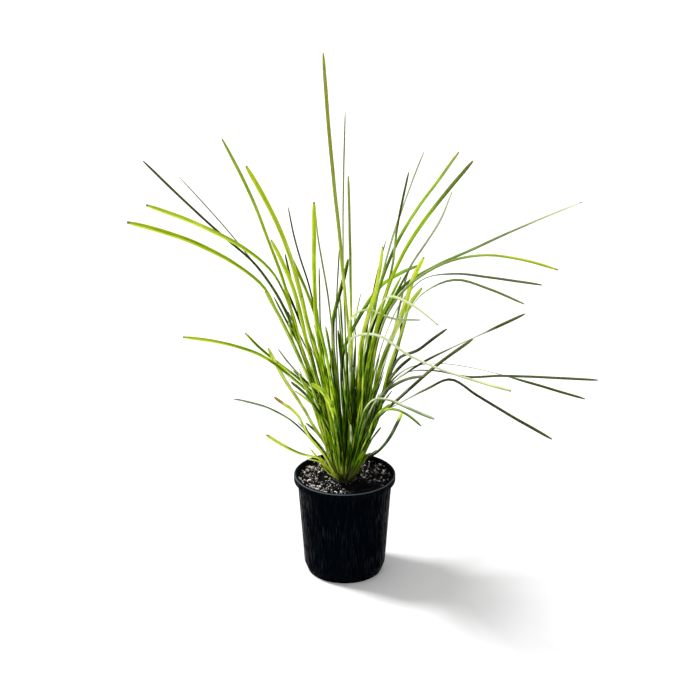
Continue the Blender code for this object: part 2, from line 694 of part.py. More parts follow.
def plan_headings(blades):
    """Which way each blade leans in plan, and how far its tip is from the upright."""
    tips = [front_view(*blade.way[-1], blade.depth) for blade in blades]
    headings = [math.atan2(tip.y, tip.x) for tip in tips]
    leans = [math.hypot(tip.x, tip.y) / (tip.z - SOIL_LEVEL) for tip in tips]
    return headings, leans


def all_lines():
    """Centreline, widths and stations of each blade: those of their own, then the crown's."""
    own = [blade for group in BLADES.values() for blade in group]
    read = own + CROWN_BLADES
    young = list(young_blades())
    headings, leans = plan_headings(read)
    headings += [heading for heading, _, _, _ in young]
    leans += [math.tan(lean) for _, lean, _, _ in young]
    places = root_places(np.array(headings), np.array(leans))
    roots = []
    for index, place in enumerate(places):
        surface = dome_height(np.linalg.norm(place))
        sink = min(ROOT_SINK, ROOT_SINK_SHARE * (surface - SOIL_LEVEL))
        rise = root_clearance(own[index].width) if index < len(own) else -sink
        roots.append((*place, surface + rise))
    lines = [smooth_line([root, *way_points(blade, root)], SEGMENTS) for blade, root in zip(read, roots)]
    for (heading, lean, length, _), root in zip(young, roots[len(read) :]):
        lines.append(young_line(heading, lean, length, root))
    lines = np.array(lines)
    greatest = [blade.width for blade in read] + [width for *_, width in young]
    widths = np.array(greatest)[:, None] * width_shares()
    toward, turns = facings(read, headings, lines)
    lines = spread(lines, widths, toward, turns)
    sides, normals = stations(lines, toward, turns)
    return list(zip(lines, widths, sides, normals)), len(own)


def root_clearance(width):
    """How high above the crown a blade's root is centred, so that a leaning one stays clear."""
    return GAP + ROOT_TILT_SHARE * ROOT_WIDTH_SHARE * width + KEEL / 2


def facings(read_blades, headings, lines):
    """Where each blade's flat side looks, and how far it is turned from there.

    The turn of a blade read in the front view is counted from that view, towards the side that
    looks up and in, as the upper side of a leaf does. A young blade's upper side looks up and in,
    give or take.
    """
    headings = np.array(headings)
    outward = np.stack([np.cos(headings), np.sin(headings), np.zeros(len(headings))], axis=1)
    upper = np.array([0, 0, 1]) - INWARD_LOOK * outward
    front = np.array([0, -math.cos(VIEW_PITCH), math.sin(VIEW_PITCH)])
    toward = upper.copy()
    toward[: len(read_blades)] = front
    turns = YOUNG_TURN * np.where(np.arange(len(headings)) % 2, 1, -1)
    middle = lines.shape[1] // 2
    run = lines[:, middle + 1] - lines[:, middle - 1]
    for index, blade in enumerate(read_blades):
        across = np.cross(run[index], front)
        turns[index] = math.copysign(math.radians(blade.turn), dot(across, upper[index]))
    return toward, turns


def make_blades(parts, made_lines):
    materials = {tone: new_material(tone) for tone in ("sunlit", "green", "dark", "pale")}
    waiting = iter(made_lines)
    for group, blades in BLADES.items():
        for number, blade in enumerate(blades, start=1):
            shape = bmesh.new()
            add_blade(shape, *next(waiting))
            object_from(shape, f"{group}_{number:02}", parts, materials[blade.tone])


def make_crown(parts, cutters, made_lines):
    """The low dome, joined to the young blades, whose roots are sunk in it."""
    dome = bmesh.new()
    rings = [CROWN_RADIUS * share for share in (0, 0.45, 0.75, 0.92, 1)]
    profile = [(radius, dome_height(radius)) for radius in rings]
    profile.append((0, dome_height(CROWN_RADIUS)))
    points = [dome.verts.new((radius, 0, height)) for radius, height in profile]
    lines = [dome.edges.new(ends) for ends in zip(points, points[1:])]
    bmesh.ops.spin(
        dome,
        geom=points + lines,
        cent=(0, 0, 0),
        axis=(0, 0, 1),
        angle=math.tau,
        steps=CROWN_STEPS,
        use_merge=True,
    )
    bmesh.ops.remove_doubles(dome, verts=dome.verts, dist=MERGE)
    crown = object_from(dome, "crown", parts, new_material("crown"))
    blades = bmesh.new()
    for made_line in made_lines:
        add_blade(blades, *made_line)
    boolean(crown, as_cutter(object_from(blades, "young_blades", cutters)), "UNION")


def main():
    clear_scene()
    parts = new_collection("potted_grass")
    cutters = new_collection("cutters", hidden=True)
    make_pot(parts, cutters)
    make_soil(parts)
    made_lines, long_count = all_lines()
    make_blades(parts, made_lines[:long_count])
    make_crown(parts, cutters, made_lines[long_count:])


main()
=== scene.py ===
# %% [markdown]
# # A potted ornamental grass
#
# The plant is a clump of mat-rush: long, narrow, channelled blades that rise from one low crown,
# some upright and some arching over, in a black nursery pot of bark mix.
# The imported CAD model gives every piece its place. The looks are built around it here, one piece
# at a time: each blade gets a finer, smoother twin, the pot gets its rounded rim, its wear and a
# painted sheen, and the potting mix gets its chips and grit.

import json
import math
import random

import bmesh
import bpy
import numpy as np
from mathutils import Matrix, Vector, noise
from mathutils.bvhtree import BVHTree


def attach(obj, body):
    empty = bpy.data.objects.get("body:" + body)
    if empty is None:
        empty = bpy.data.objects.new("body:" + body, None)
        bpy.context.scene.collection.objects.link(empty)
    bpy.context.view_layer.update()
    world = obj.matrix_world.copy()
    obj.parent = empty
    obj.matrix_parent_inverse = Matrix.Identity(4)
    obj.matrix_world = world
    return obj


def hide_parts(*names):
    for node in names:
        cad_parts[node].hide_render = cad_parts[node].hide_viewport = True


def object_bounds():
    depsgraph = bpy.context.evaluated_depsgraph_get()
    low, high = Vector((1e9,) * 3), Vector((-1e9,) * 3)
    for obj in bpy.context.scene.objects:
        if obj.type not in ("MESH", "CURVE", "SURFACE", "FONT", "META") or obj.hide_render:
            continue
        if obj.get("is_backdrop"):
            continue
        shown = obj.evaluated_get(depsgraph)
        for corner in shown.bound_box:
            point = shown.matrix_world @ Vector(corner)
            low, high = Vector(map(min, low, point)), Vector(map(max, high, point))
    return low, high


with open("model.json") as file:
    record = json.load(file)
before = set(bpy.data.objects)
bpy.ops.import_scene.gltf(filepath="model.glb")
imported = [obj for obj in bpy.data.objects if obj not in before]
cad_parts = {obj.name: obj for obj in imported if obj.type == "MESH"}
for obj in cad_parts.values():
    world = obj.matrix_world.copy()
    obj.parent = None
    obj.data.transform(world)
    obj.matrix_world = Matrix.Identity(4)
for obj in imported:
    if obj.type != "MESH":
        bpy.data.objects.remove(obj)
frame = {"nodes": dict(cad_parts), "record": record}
cad_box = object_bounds()
nodes = frame["nodes"]
leaf_names = sorted(name for name in nodes if "_leaf_" in name)
print(len(leaf_names), "long blades; CAD box in mm:", [[round(1000 * c) for c in p] for p in cad_box])

# %% [markdown]
# ## The camera
#
# The picture was taken from in front and a little above: the pot's rim shows as an ellipse 2.7
# times as wide as it is tall, which puts the line of sight 21.6 degrees below the horizon.
# A long lens from two and a half metres away gives the same mild perspective. The camera could
# track the plant with a constraint, but two numbers for its tilt and distance are easier to read.

# %% The camera
VIEW_PITCH = math.radians(21.6)
VIEW_TARGET = Vector((0.0073, 0, 0.3262))
VIEW_DISTANCE = 2.611
LENS = 100

camera = bpy.data.objects.new("camera", bpy.data.cameras.new("camera"))
camera.data.lens = LENS
camera.rotation_euler = (math.pi / 2 - VIEW_PITCH, 0, 0)
line_of_sight = Vector((0, math.cos(VIEW_PITCH), -math.sin(VIEW_PITCH)))
camera.location = VIEW_TARGET - VIEW_DISTANCE * line_of_sight
bpy.context.scene.collection.objects.link(camera)
bpy.context.scene.camera = camera
print("camera at", [round(c, 2) for c in camera.location])

# %% [markdown]
# ## Light and floor
#
# The plant stands on a plain white floor in soft studio light. One lamp, high on the left, a
# little behind and wide enough for soft shadows, makes the blades on that side glow and leaves
# the right side of the clump dark, and the white surroundings fill in the rest. A sun lamp is
# used because it lights the whole floor evenly, where an area lamp leaves its far side grey. More
# lamps would flatten the thin blades, which need a lit side and a dark side to show their
# channels. The surroundings light the plant a little less than they show, so the backdrop stays
# white.

# %% Light and floor
SKY_STRENGTH = 0.66
KEY_STRENGTH = 3.1
KEY_ANGLE = math.radians(14)
KEY_FROM = Vector((-0.55, 0.26, 0.78))
FLOOR_RADIUS = 14

sky = bpy.data.worlds.new("studio")
sky.use_nodes = True
sky.node_tree.nodes["Background"].inputs["Color"].default_value = (1, 1, 1, 1)
seen = sky.node_tree.nodes.new("ShaderNodeLightPath").outputs["Is Camera Ray"]
strength = sky.node_tree.nodes.new("ShaderNodeMapRange")
strength.inputs["To Min"].default_value = SKY_STRENGTH
sky.node_tree.links.new(seen, strength.inputs["Value"])
sky.node_tree.links.new(strength.outputs[0], sky.node_tree.nodes["Background"].inputs["Strength"])
bpy.context.scene.world = sky
bpy.context.scene.view_settings.view_transform = "Standard"

key = bpy.data.objects.new("key", bpy.data.lights.new("key", "SUN"))
key.data.energy = KEY_STRENGTH
key.data.angle = KEY_ANGLE
key.rotation_euler = KEY_FROM.to_track_quat("Z", "Y").to_euler()
bpy.context.scene.collection.objects.link(key)


def new_object(name, shape):
    """A smooth-shaded object at the origin that holds this bmesh."""
    mesh = bpy.data.meshes.new(name)
    shape.to_mesh(mesh)
    shape.free()
    mesh.shade_smooth()
    made = bpy.data.objects.new(name, mesh)
    bpy.context.scene.collection.objects.link(made)
    return made


shape = bmesh.new()
bmesh.ops.create_circle(shape, cap_ends=True, segments=64, radius=FLOOR_RADIUS)
floor = new_object("floor", shape)
floor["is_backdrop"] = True
print("lamp", KEY_STRENGTH, "sky", SKY_STRENGTH)

# %% [markdown]
# ## Writing materials as sums
#
# A material is a net of nodes. Wiring each Math node by hand hides what it works out, so a small
# class wraps a node's output and lets Python's own signs build the net: `1 - mask` adds a
# Subtract node. Every other node comes from one method that takes its type, its settings and
# the values or links of its sockets.


# %% A number that changes over a surface
class Signal:
    """A number that changes over a surface. A sum on it adds a Math node to its finish."""

    def __init__(self, finish, socket):
        self.finish = finish
        self.socket = socket

    def math(self, operation, *terms):
        return self.finish.node("ShaderNodeMath", {"operation": operation}, dict(enumerate(terms)))[0]

    def __add__(self, other):
        return self.math("ADD", self, other)

    def __sub__(self, other):
        return self.math("SUBTRACT", self, other)

    def __rsub__(self, other):
        return self.math("SUBTRACT", other, self)

    def __mul__(self, other):
        return self.math("MULTIPLY", self, other)

    def __pow__(self, other):
        return self.math("POWER", self, other)

    __radd__, __rmul__ = __add__, __mul__

    def size(self):
        return self.math("ABSOLUTE", self)

    def wave(self):
        return self.math("SINE", self)

    def step(self, low, high):
        """0 below low, 1 above high and a smooth rise between."""
        values = {0: self, 1: low, 2: high, 3: 0.0, 4: 1.0}
        return self.finish.node("ShaderNodeMapRange", {"interpolation_type": "SMOOTHSTEP"}, values)[0]


# %% A material in the making
class Finish:
    """A material that is built up by its nodes, and its shader's own constants."""

    def __init__(self, name, **constants):
        self.material = bpy.data.materials.new(name)
        self.material.use_nodes = True
        self.tree = self.material.node_tree
        self.shader = self.tree.nodes["Principled BSDF"]
        for socket, value in constants.items():
            self.shader.inputs[socket.replace("_", " ")].default_value = value

    def node(self, kind, settings=None, values=None):
        """Adds a node, and gives its outputs as signals."""
        made = self.tree.nodes.new(kind)
        for setting, value in (settings or {}).items():
            setattr(made, setting, value)
        for socket, value in (values or {}).items():
            self.feed(made.inputs[socket], value)
        return [Signal(self, output) for output in made.outputs]

    def feed(self, socket, value):
        if isinstance(value, Signal):
            self.tree.links.new(value.socket, socket)
        else:
            socket.default_value = value

    def attribute(self, name):
        """A number that the mesh carries at each point."""
        return self.node("ShaderNodeAttribute", {"attribute_name": name})[2]

    def noise(self, place, scale, detail=2.0):
        """Soft random spots between 0 and 1, about 0.5."""
        values = {"Vector": place, "Scale": scale, "Detail": detail}
        return self.node("ShaderNodeTexNoise", None, values)[0]

    def place(self, *terms):
        """A vector of three numbers or signals."""
        return self.node("ShaderNodeCombineXYZ", None, dict(enumerate(terms)))[0]

    def object_place(self):
        return self.node("ShaderNodeTexCoord")[3]

    def parts(self, vector):
        return self.node("ShaderNodeSeparateXYZ", None, {0: vector})

    def mix(self, factor, first, second):
        """A colour between the first (factor 0) and the second (factor 1)."""
        values = {0: factor, 6: first, 7: second}
        return self.node("ShaderNodeMix", {"data_type": "RGBA"}, values)[2]

    def ramp(self, factor, stops):
        """A colour picked by the factor from a run of stops."""
        made = self.node("ShaderNodeValToRGB", None, {0: factor})[0]
        ramp = made.socket.node.color_ramp
        while len(ramp.elements) < len(stops):
            ramp.elements.new(1)
        for element, (position, colour) in zip(ramp.elements, stops):
            element.position = position
            element.color = (*colour, 1)
        return made

    def bump(self, height, strength, distance):
        values = {"Strength": strength, "Distance": distance, "Height": height}
        self.give("Normal", self.node("ShaderNodeBump", None, values)[0])

    def give(self, socket, value):
        """Feeds one of the shader's own sockets."""
        self.feed(self.shader.inputs[socket], value)


# %% The floor's paint
floor_paint = Finish(
    "floor_paint", Base_Color=(0.93, 0.93, 0.93, 1), Roughness=0.9, Specular_IOR_Level=0.2,
)
floor.data.materials.append(floor_paint.material)
print("sums make nodes:", len(floor_paint.tree.nodes), "in the floor's")

# %% [markdown]
# ## The finish of a blade
#
# A blade of mat-rush is tough and a little waxy. Fine veins run its whole length, its foot is
# straw-coloured where it was sheathed, and its blunt tip dies back to brown. Light and shade are
# painted into its colour too: painted shading across the channel makes the edges paler and the
# groove darker, one half is lit and the other in painted shade, low in the clump lie painted
# dappled shadows, the very foot is in painted shade, and lit blades carry painted highlights, the
# lightest a painted glow. Light blades are nearly yellow and old ones dark olive, so each point of
# the mesh carries how light and how grey it is, how far it is from the root, and a number of its
# blade's own; how light it is holds painted light and shade as well as the blade's own tone. The
# pattern then runs with the blade however it bends. Painting an image would do it too, but noise
# that is stretched along the blade needs no file and never repeats.

# %% The finish of a blade
LEAF_TONES = [
    (0.00, (0.002, 0.004, 0.000)),
    (0.25, (0.006, 0.018, 0.001)),
    (0.50, (0.030, 0.100, 0.001)),
    (0.74, (0.140, 0.315, 0.003)),
    (0.90, (0.390, 0.540, 0.012)),
    (1.00, (0.680, 0.790, 0.090)),
]
GREY_TONES = [
    (0.0, (0.015, 0.018, 0.012)),
    (0.5, (0.140, 0.155, 0.105)),
    (1.0, (0.820, 0.840, 0.740)),
]
STRAW = (0.22, 0.19, 0.06, 1)
RIPE = (0.50, 0.50, 0.02, 1)
DEAD_TIP = (0.20, 0.12, 0.05, 1)
RUSTY = (0.36, 0.14, 0.09, 1)
# A painted glow for the lightest blades.
GLOWING = (0.80, 0.96, 0.05, 1)
# Painted highlights in streaks on the lit blades.
GLINT = (0.64, 0.80, 0.36, 1)
YELLOWED = (0.52, 0.46, 0.06, 1)
VEINS = 75
VEIN_DEPTH = 0.0002
TIP_SHARES = (0.990, 0.998)
RUSTY_SHARES = (0.87, 0.93)
THROUGH = 0.22
THROUGH_DEPTHS = (0.0013, 0.0015, 0.0003)


def leaf_finish(name, warmth):
    """Waxy, veined leaf, with light and shade painted into its colour. Warmth yellows it a little."""
    leaf = Finish(
        name, Subsurface_Weight=THROUGH, Subsurface_Scale=1, Subsurface_Radius=THROUGH_DEPTHS,
        Specular_IOR_Level=0.05, Specular_Tint=(0.8, 1, 0.3, 1),
    )
    across, along, _ = leaf.parts(leaf.node("ShaderNodeUVMap", {"uv_map": "blade"})[0])
    run, lot = leaf.attribute("run"), leaf.attribute("lot")
    streaks = leaf.noise(leaf.place(across * 7, run * 16, lot * 40), 1.0, 3.0)
    fine = leaf.noise(leaf.place(across * 24, run * 40, lot * 90), 1.0)
    clouds = leaf.noise(leaf.place(across, run * 34, lot * 17), 1.0)
    edge = (across - 0.5).size() * 2
    # Painted shading across the channel: the edges are lighter and the groove along the middle
    # darker.
    margin = edge.step(0.78, 0.98)
    midrib = 1 - edge.step(0.02, 0.20)
    # Painted light: one half of the blade is lit and the other half is in painted shade.
    lit_side = 1 - across.step(0.40, 0.60)
    light = leaf.attribute("light")
    inner = 1 - run.step(0.18, 0.34)
    # Painted dappled shadows of the other blades low in the clump, plus a random tone for each blade.
    dappled_shade_and_tone = 0.34 * (clouds.step(0.42, 0.58) - 0.5) + 0.30 * (lot - 0.5)
    shade = light + 0.62 * (streaks - 0.5) + 0.20 * (fine - 0.5) + 0.36 * (clouds - 0.5)
    shade = shade + inner * dappled_shade_and_tone + 0.10 * margin - 0.12 * midrib
    # Painted shade at the very foot, where the blades meet the mix; the lit half's painted light is
    # stronger low in the clump.
    shade = shade + (0.16 + 0.14 * inner) * (lit_side - 0.5) - 0.28 * (1 - run.step(0.003, 0.022))
    green = leaf.ramp(shade, LEAF_TONES)
    grey = leaf.ramp(shade, GREY_TONES)
    # Painted glow: the lightest blades turn bright lime, as if lit through.
    green = leaf.mix(light.step(1.2, 1.9), green, GLOWING)
    colour = leaf.mix(leaf.attribute("grey"), green, grey)
    colour = leaf.mix(warmth * clouds * run.step(0.1, 0.3), colour, YELLOWED)
    # Painted highlights: pale streaks on the lit blades.
    glint = streaks.step(0.62, 0.74) * light.step(0.3, 0.8)
    colour = leaf.mix(0.35 * glint, colour, GLINT)
    colour = leaf.mix(0.30 * run.step(0.25, 0.60) * light, colour, RIPE)
    # The blade's own straw colour at the foot, kept weak at the very bottom, which is left in painted
    # shade, and on light blades.
    foot = (0.1 + run.step(0.003, 0.026)) * (1 - (run + 0.02 * (streaks - 0.5)).step(0.018, 0.055))
    colour = leaf.mix(0.44 * foot * (1 - 0.8 * light.step(0.3, 1.0)), colour, STRAW)
    ragged = along + 0.02 * (streaks - 0.5)
    colour = leaf.mix(ragged.step(*TIP_SHARES), colour, DEAD_TIP)
    colour = leaf.mix(lot.step(1.0, 1.1) * ragged.step(*RUSTY_SHARES), colour, RUSTY)
    leaf.give("Base Color", colour)
    leaf.give("Roughness", 0.40 + 0.22 * streaks)
    veins = (across * VEINS).wave() * 0.5 + fine
    leaf.bump(veins - 0.8 * midrib, 0.35, VEIN_DEPTH)
    return leaf.material


# %% One finish for each tone of leaf
WARMTHS = {"leaf_sunlit": 0.10, "leaf_green": 0.05, "leaf_dark": 0.02, "leaf_pale": 0.08}
leaf_materials = {tone: leaf_finish(tone + "_finish", warmth) for tone, warmth in WARMTHS.items()}
print("leaf finishes:", *leaf_materials)

# %% [markdown]
# ## How light each blade is
#
# In the picture the blades on the left glow lime and the low ones on the right are nearly black.
# Some change on the way: they turn their edge or their underside to us. Each blade gets a few
# stops, all in percent: how far along the blade, how light and, where it is greyish, how grey.
# The stops paint that light and shade into the colour, with each blade's own tone: lit stretches
# lime, shaded ones dark, and stretches washed out by the light pale grey.
# Between two stops the numbers change evenly. A ramp in the material would do the same for one
# blade, but this way one finish serves them all. A group's blades follow each other by number.

# %% How light each blade is
SHADES = {
    "left_leaf": [
        [(20, 60), (50, 86), (100, 90)],
        [(20, 40), (38, 55), (50, 88), (100, 92, 5)],
        [(20, 50), (50, 50, 30), (70, 22, 10), (90, 30, 40)],
        [(30, 60, 10), (50, 60, 50), (70, 50, 100), (100, 62, 100)],
        [(20, 40), (40, 60), (60, 80), (100, 78, 15)],
        [(20, 70), (50, 76), (80, 80), (100, 88)],
        [(20, 56), (60, 74), (100, 84)],
        [(20, 24), (60, 28), (100, 50)],
        [(20, 36), (50, 20, 20), (100, 20, 60)],
        [(20, 36), (50, 50), (70, 86), (100, 50, 10)],
        [(20, 92), (60, 90), (100, 90)],
    ],
    "upright_leaf": [
        [(20, 68), (50, 80), (100, 88)],
        [(20, 55), (50, 60, 50), (100, 66, 40)],
        [(20, 60), (45, 78), (62, 56, 10), (80, 28, 20), (100, 22, 30)],
        [(30, 62, 10), (50, 50, 50), (60, 60, 90), (75, 45, 90), (80, 30, 100)],
        [(20, 55), (60, 74), (75, 38, 20), (100, 50, 60)],
        [(20, 56), (60, 66, 10), (80, 34), (100, 62)],
        [(20, 60), (60, 84), (100, 90)],
        [(20, 34), (50, 24), (70, 45, 60), (100, 40, 50)],
        [(20, 70), (100, 74)],
    ],
    "right_leaf": [
        [(30, 36), (55, 26), (75, 70, 30), (85, 16)],
        [(30, 50), (55, 72, 10), (64, 30), (74, 80, 10), (100, 66, 20)],
        [(30, 50), (60, 80), (80, 72), (88, 40, 20), (100, 30, 30)],
        [(40, 55, 10), (70, 55, 60), (100, 48, 100)],
        [(40, 55, 10), (70, 45, 80), (100, 60, 100)],
        [(30, 60), (50, 50, 10), (70, 60, 30), (80, 50, 60), (100, 80, 100)],
        [(30, 62), (50, 60, 40), (70, 70, 30), (90, 84)],
        [(30, 50), (45, 60, 80), (55, 40, 70), (63, 60, 80), (70, 40, 80)],
        [(30, 30), (50, 58, 80), (68, 58, 80), (76, 42, 50)],
        [(40, 70), (70, 85, 30), (100, 80, 80)],
        [(30, 30), (50, 42), (65, 66, 15), (100, 84)],
        [(30, 34), (50, 60), (62, 66, 35), (75, 80), (100, 92)],
        [(20, 30), (50, 12), (100, 10)],
        [(20, 30), (60, 42), (80, 78), (100, 66, 10)],
        [(20, 30), (60, 40), (100, 50)],
    ],
    "low_right_leaf": [
        [
            (20, 34, 20), (40, 60, 80), (48, 60, 80), (53, 20, 50),
            (62, 20, 50), (71, 60, 80), (84, 60, 80), (88, 20, 50),
        ],
        [(20, 26), (50, 14, 60), (100, 24, 60)],
        [(10, 30), (20, 42, 60), (42, 50, 70), (50, 22, 60), (100, 18, 60)],
        [(15, 30), (25, 36, 50), (42, 40, 60), (50, 33, 60), (100, 22, 60)],
        [(20, 30), (40, 50, 70), (55, 60, 80), (72, 60, 80), (78, 28, 50)],
        [(30, 30), (42, 95, 70), (80, 86, 80), (100, 78, 60)],
        [(30, 80), (60, 100, 10), (100, 60, 70)],
        [(20, 34), (50, 18, 60), (100, 24, 60)],
        [(20, 30), (50, 40, 60), (75, 18, 60), (100, 45, 60)],
        [(20, 30), (42, 40, 10), (55, 100, 60), (80, 70, 70), (100, 60, 70)],
        [(20, 20), (50, 24, 60), (70, 75, 10), (100, 55, 20)],
        [(20, 20), (82, 28, 60), (90, 100, 10), (100, 110)],
        [(20, 24), (60, 20, 60), (100, 22, 60)],
    ],
    "low_left_leaf": [
        [(20, 66), (50, 84), (100, 95)],
        [(20, 70), (60, 90), (80, 95), (100, 85)],
        [(20, 92), (60, 86, 10), (100, 94)],
        [(30, 50), (60, 36, 40), (100, 45, 70)],
        [(30, 78), (60, 70, 10), (85, 80), (100, 70, 20)],
        [(30, 60, 10), (60, 36, 50), (100, 40, 80)],
        [(20, 90), (60, 112, 5), (100, 110, 10)],
        [(20, 50), (60, 20), (100, 12, 10)],
        [(15, 25), (45, 36), (65, 80), (100, 86)],
    ],
}


def as_shares(stops):
    return [tuple(percent / 100 for percent in stop) for stop in stops]


def shades_of(name):
    """The stops of the blade with this name, as shares of 1."""
    group, number = name.rsplit("_", 1)
    return as_shares(SHADES[group][int(number) - 1])


print("blades with shades:", {group: len(blades) for group, blades in SHADES.items()})

# %% [markdown]
# ## Reading a blade's run from its solid
#
# In the CAD model a blade is ten plain segments between eleven four-cornered rings. Its finer
# twin follows the same rings, so it stays where the solid is from every side. Starting at the
# tip, each ring is found as the next four points along the mesh's edges. The runs could be typed
# in again, but then they would no longer follow a change to the solids.

# %% Reading a blade's run from its solid
CROWN_MIDDLE = Vector((0, 0, 0.142))
MERGE = 0.00001


def neighbours(vert):
    return [edge.other_vert(vert) for edge in vert.link_edges]


def furthest_along(start):
    """The vertex that is most edges away from the start, and every vertex that hangs on it."""
    seen, front = {start}, [start]
    while front:
        last = front
        front = sorted({v for vert in front for v in neighbours(vert)} - seen, key=lambda v: v.index)
        seen.update(front)
    return last[0], seen


def rings_of(start):
    """The corners of each ring, from the root to the tip, of the blade that the start is on."""
    tip, verts = furthest_along(start)
    ring = sorted(verts, key=lambda v: (v.co - tip.co).length)[:4]
    rings, seen = [], set()
    while len(ring) == 4:
        rings.append([vert.co.copy() for vert in ring])
        seen.update(ring)
        found = {v for vert in ring for v in neighbours(vert)} - seen
        ring = sorted(found, key=lambda v: v.index)
    return rings[::-1]


def ring_frame(corners, side_before):
    """A ring's middle, the way across and out of its flat side, and its width."""
    pairs = [(a, b) for a in range(4) for b in range(a + 1, 4)]
    a, b = max(pairs, key=lambda pair: (corners[pair[0]] - corners[pair[1]]).length)
    keel_or_groove = [corners[k] for k in range(4) if k not in (a, b)]
    rim = (corners[a] + corners[b]) / 2
    keel = max(keel_or_groove, key=lambda corner: (corner - rim).length)
    side = corners[b] - corners[a]
    if side.dot(side_before) < 0:
        side = -side
    out = (rim - keel).normalized()
    middle = (rim + keel_or_groove[0] + keel_or_groove[1]) / 3
    return [*middle, *side.normalized(), *out, side.length]


def blade_rows(rings):
    """One row of ten numbers for each ring."""
    side = Vector((1, 0.3, 0))
    rows = []
    for corners in rings:
        rows.append(ring_frame(corners, side))
        side = Vector(rows[-1][3:6])
    return np.array(rows)


def merged_copy(name):
    shape = bmesh.new()
    shape.from_mesh(nodes[name].data)
    bmesh.ops.remove_doubles(shape, verts=shape.verts, dist=MERGE)
    shape.verts.index_update()
    return shape


def leaf_rows(name):
    shape = merged_copy(name)
    nearest = min(shape.verts, key=lambda v: (v.co - CROWN_MIDDLE).length)
    rows = blade_rows(rings_of(nearest))
    shape.free()
    return rows


long_rows = {name: leaf_rows(name) for name in leaf_names}
print("rings on each blade:", sorted({len(rows) for rows in long_rows.values()}))

# %% [markdown]
# ## Turning blades edge-on
#
# A long blade twists: where it turns its edge to us it shrinks to a hair, and further on it is
# wide again. A few stops, in percent too, say how far along the blade how much of its width
# shows from the front. The solid could twist as well, but its ten segments are too few for that.
# The angle follows from the frame at each ring and the line of sight, so the blade keeps its
# true width from every other side. Some blades are also flatter than their solids, and so wider,
# and four are narrower.

# %% Turning blades edge-on
SHOWN_WIDTHS = {
    "left_leaf_01": [(35, 80), (50, 55), (65, 58), (80, 82), (100, 85)],
    "left_leaf_02": [(35, 80), (50, 55), (60, 60), (72, 85), (100, 90)],
    "upright_leaf_07": [(50, 90), (75, 70), (100, 50)],
    "right_leaf_10": [(30, 80), (60, 60), (100, 50)],
    "right_leaf_11": [(50, 90), (80, 70), (100, 80)],
    "right_leaf_06": [(50, 85), (70, 70), (85, 50), (100, 40)],
    "right_leaf_08": [(30, 80), (42, 30), (52, 70), (62, 30), (72, 90)],
    "right_leaf_09": [(40, 80), (50, 30), (68, 30), (78, 95)],
    "low_right_leaf_01": [(20, 50), (40, 30), (50, 60), (60, 80), (72, 30), (82, 40), (90, 90)],
    "low_right_leaf_03": [(10, 80), (20, 30), (40, 35), (50, 90)],
    "low_right_leaf_04": [(10, 60), (25, 40), (42, 40), (60, 90)],
    "low_right_leaf_09": [(30, 50), (70, 80), (100, 50)],
    "low_right_leaf_13": [(30, 60), (100, 60)],
    "low_right_leaf_05": [(30, 80), (42, 45), (55, 25), (70, 25), (80, 90)],
    "low_right_leaf_06": [(30, 80), (50, 60), (80, 50), (100, 70)],
    "low_right_leaf_07": [(30, 90), (60, 60), (100, 70)],
    "low_right_leaf_10": [(20, 80), (35, 50), (60, 50), (100, 70)],
}


def turned(rows, stops):
    """The run, with its flat side turned until this share of its width shows from the front."""
    rows = rows.copy()
    ways = np.gradient(rows[:, :3], axis=0)
    for k, row in enumerate(rows):
        forward = Vector(ways[k]).normalized()
        aside = forward.cross(line_of_sight).normalized()
        side, out = Vector(row[3:6]), Vector(row[6:9])
        now = math.atan2(aside.cross(side).dot(forward), aside.dot(side))
        reach = math.pi / 2 - abs(abs(now) - math.pi / 2)
        shown = np.interp(k / (len(rows) - 1), *zip(*stops))
        more = math.acos(shown) - reach
        sign = 1 if math.sin(2 * now) > 0 else -1
        turn = Matrix.Rotation(sign * more, 3, forward)
        row[3:6], row[6:9] = turn @ side, turn @ out
    return rows


# %% Flatter and narrower blades
WIDTH_SHARES = {
    0.85: "right_leaf_09 low_right_leaf_04 left_leaf_10 left_leaf_11",
    1.12: "left_leaf_02 upright_leaf_03 low_right_leaf_02 low_right_leaf_06 low_right_leaf_08",
    1.22: "left_leaf_06 left_leaf_07 left_leaf_09 right_leaf_02 right_leaf_06 right_leaf_13 "
          "low_left_leaf_03 low_right_leaf_13 low_right_leaf_10 right_leaf_11",
    1.32: "left_leaf_05 upright_leaf_04 right_leaf_03 right_leaf_12 right_leaf_14 "
          "low_right_leaf_09 low_right_leaf_12 low_left_leaf_07",
    1.48: "left_leaf_03 left_leaf_04 upright_leaf_02 upright_leaf_06 right_leaf_04 right_leaf_05 "
          "right_leaf_10",
}

for name, stops in SHOWN_WIDTHS.items():
    long_rows[name] = turned(long_rows[name], as_shares(stops))
for share, names in WIDTH_SHARES.items():
    for name in names.split():
        long_rows[name][:, 9] *= share
print(len(SHOWN_WIDTHS), "blades turn their edge to the front")

# %% [markdown]
# ## Building a blade
#
# A blade starts as a flat grid, six faces wide and forty-odd long. A smooth curve through the
# rings gives the place of each row of the grid. Across, the row is folded up at its edges into
# the channel that such blades have, deep near the root and shallow at the tip. The fold, a
# slight twist and a slight sway differ from blade to blade. Solidify then gives the sheet its
# thickness. A curve with a bevel profile could run the same way, but it can't fold and taper by
# different rules.

# %% A smooth curve through a run
def smooth_rows(rows, count):
    """A Catmull-Rom curve through evenly spaced rows, as count + 1 rows."""
    padded = np.vstack([2 * rows[0] - rows[1], rows, 2 * rows[-1] - rows[-2]])
    along = np.linspace(0, len(rows) - 1, count + 1)
    start = np.minimum(along.astype(int), len(rows) - 2)
    share = (along - start)[:, None]
    a, b, c, d = (padded[start + k] for k in range(4))
    bend = (2 * a - 5 * b + 4 * c - d) * share**2 + (3 * b - a - 3 * c + d) * share**3
    return 0.5 * (2 * b + (c - a) * share + bend)


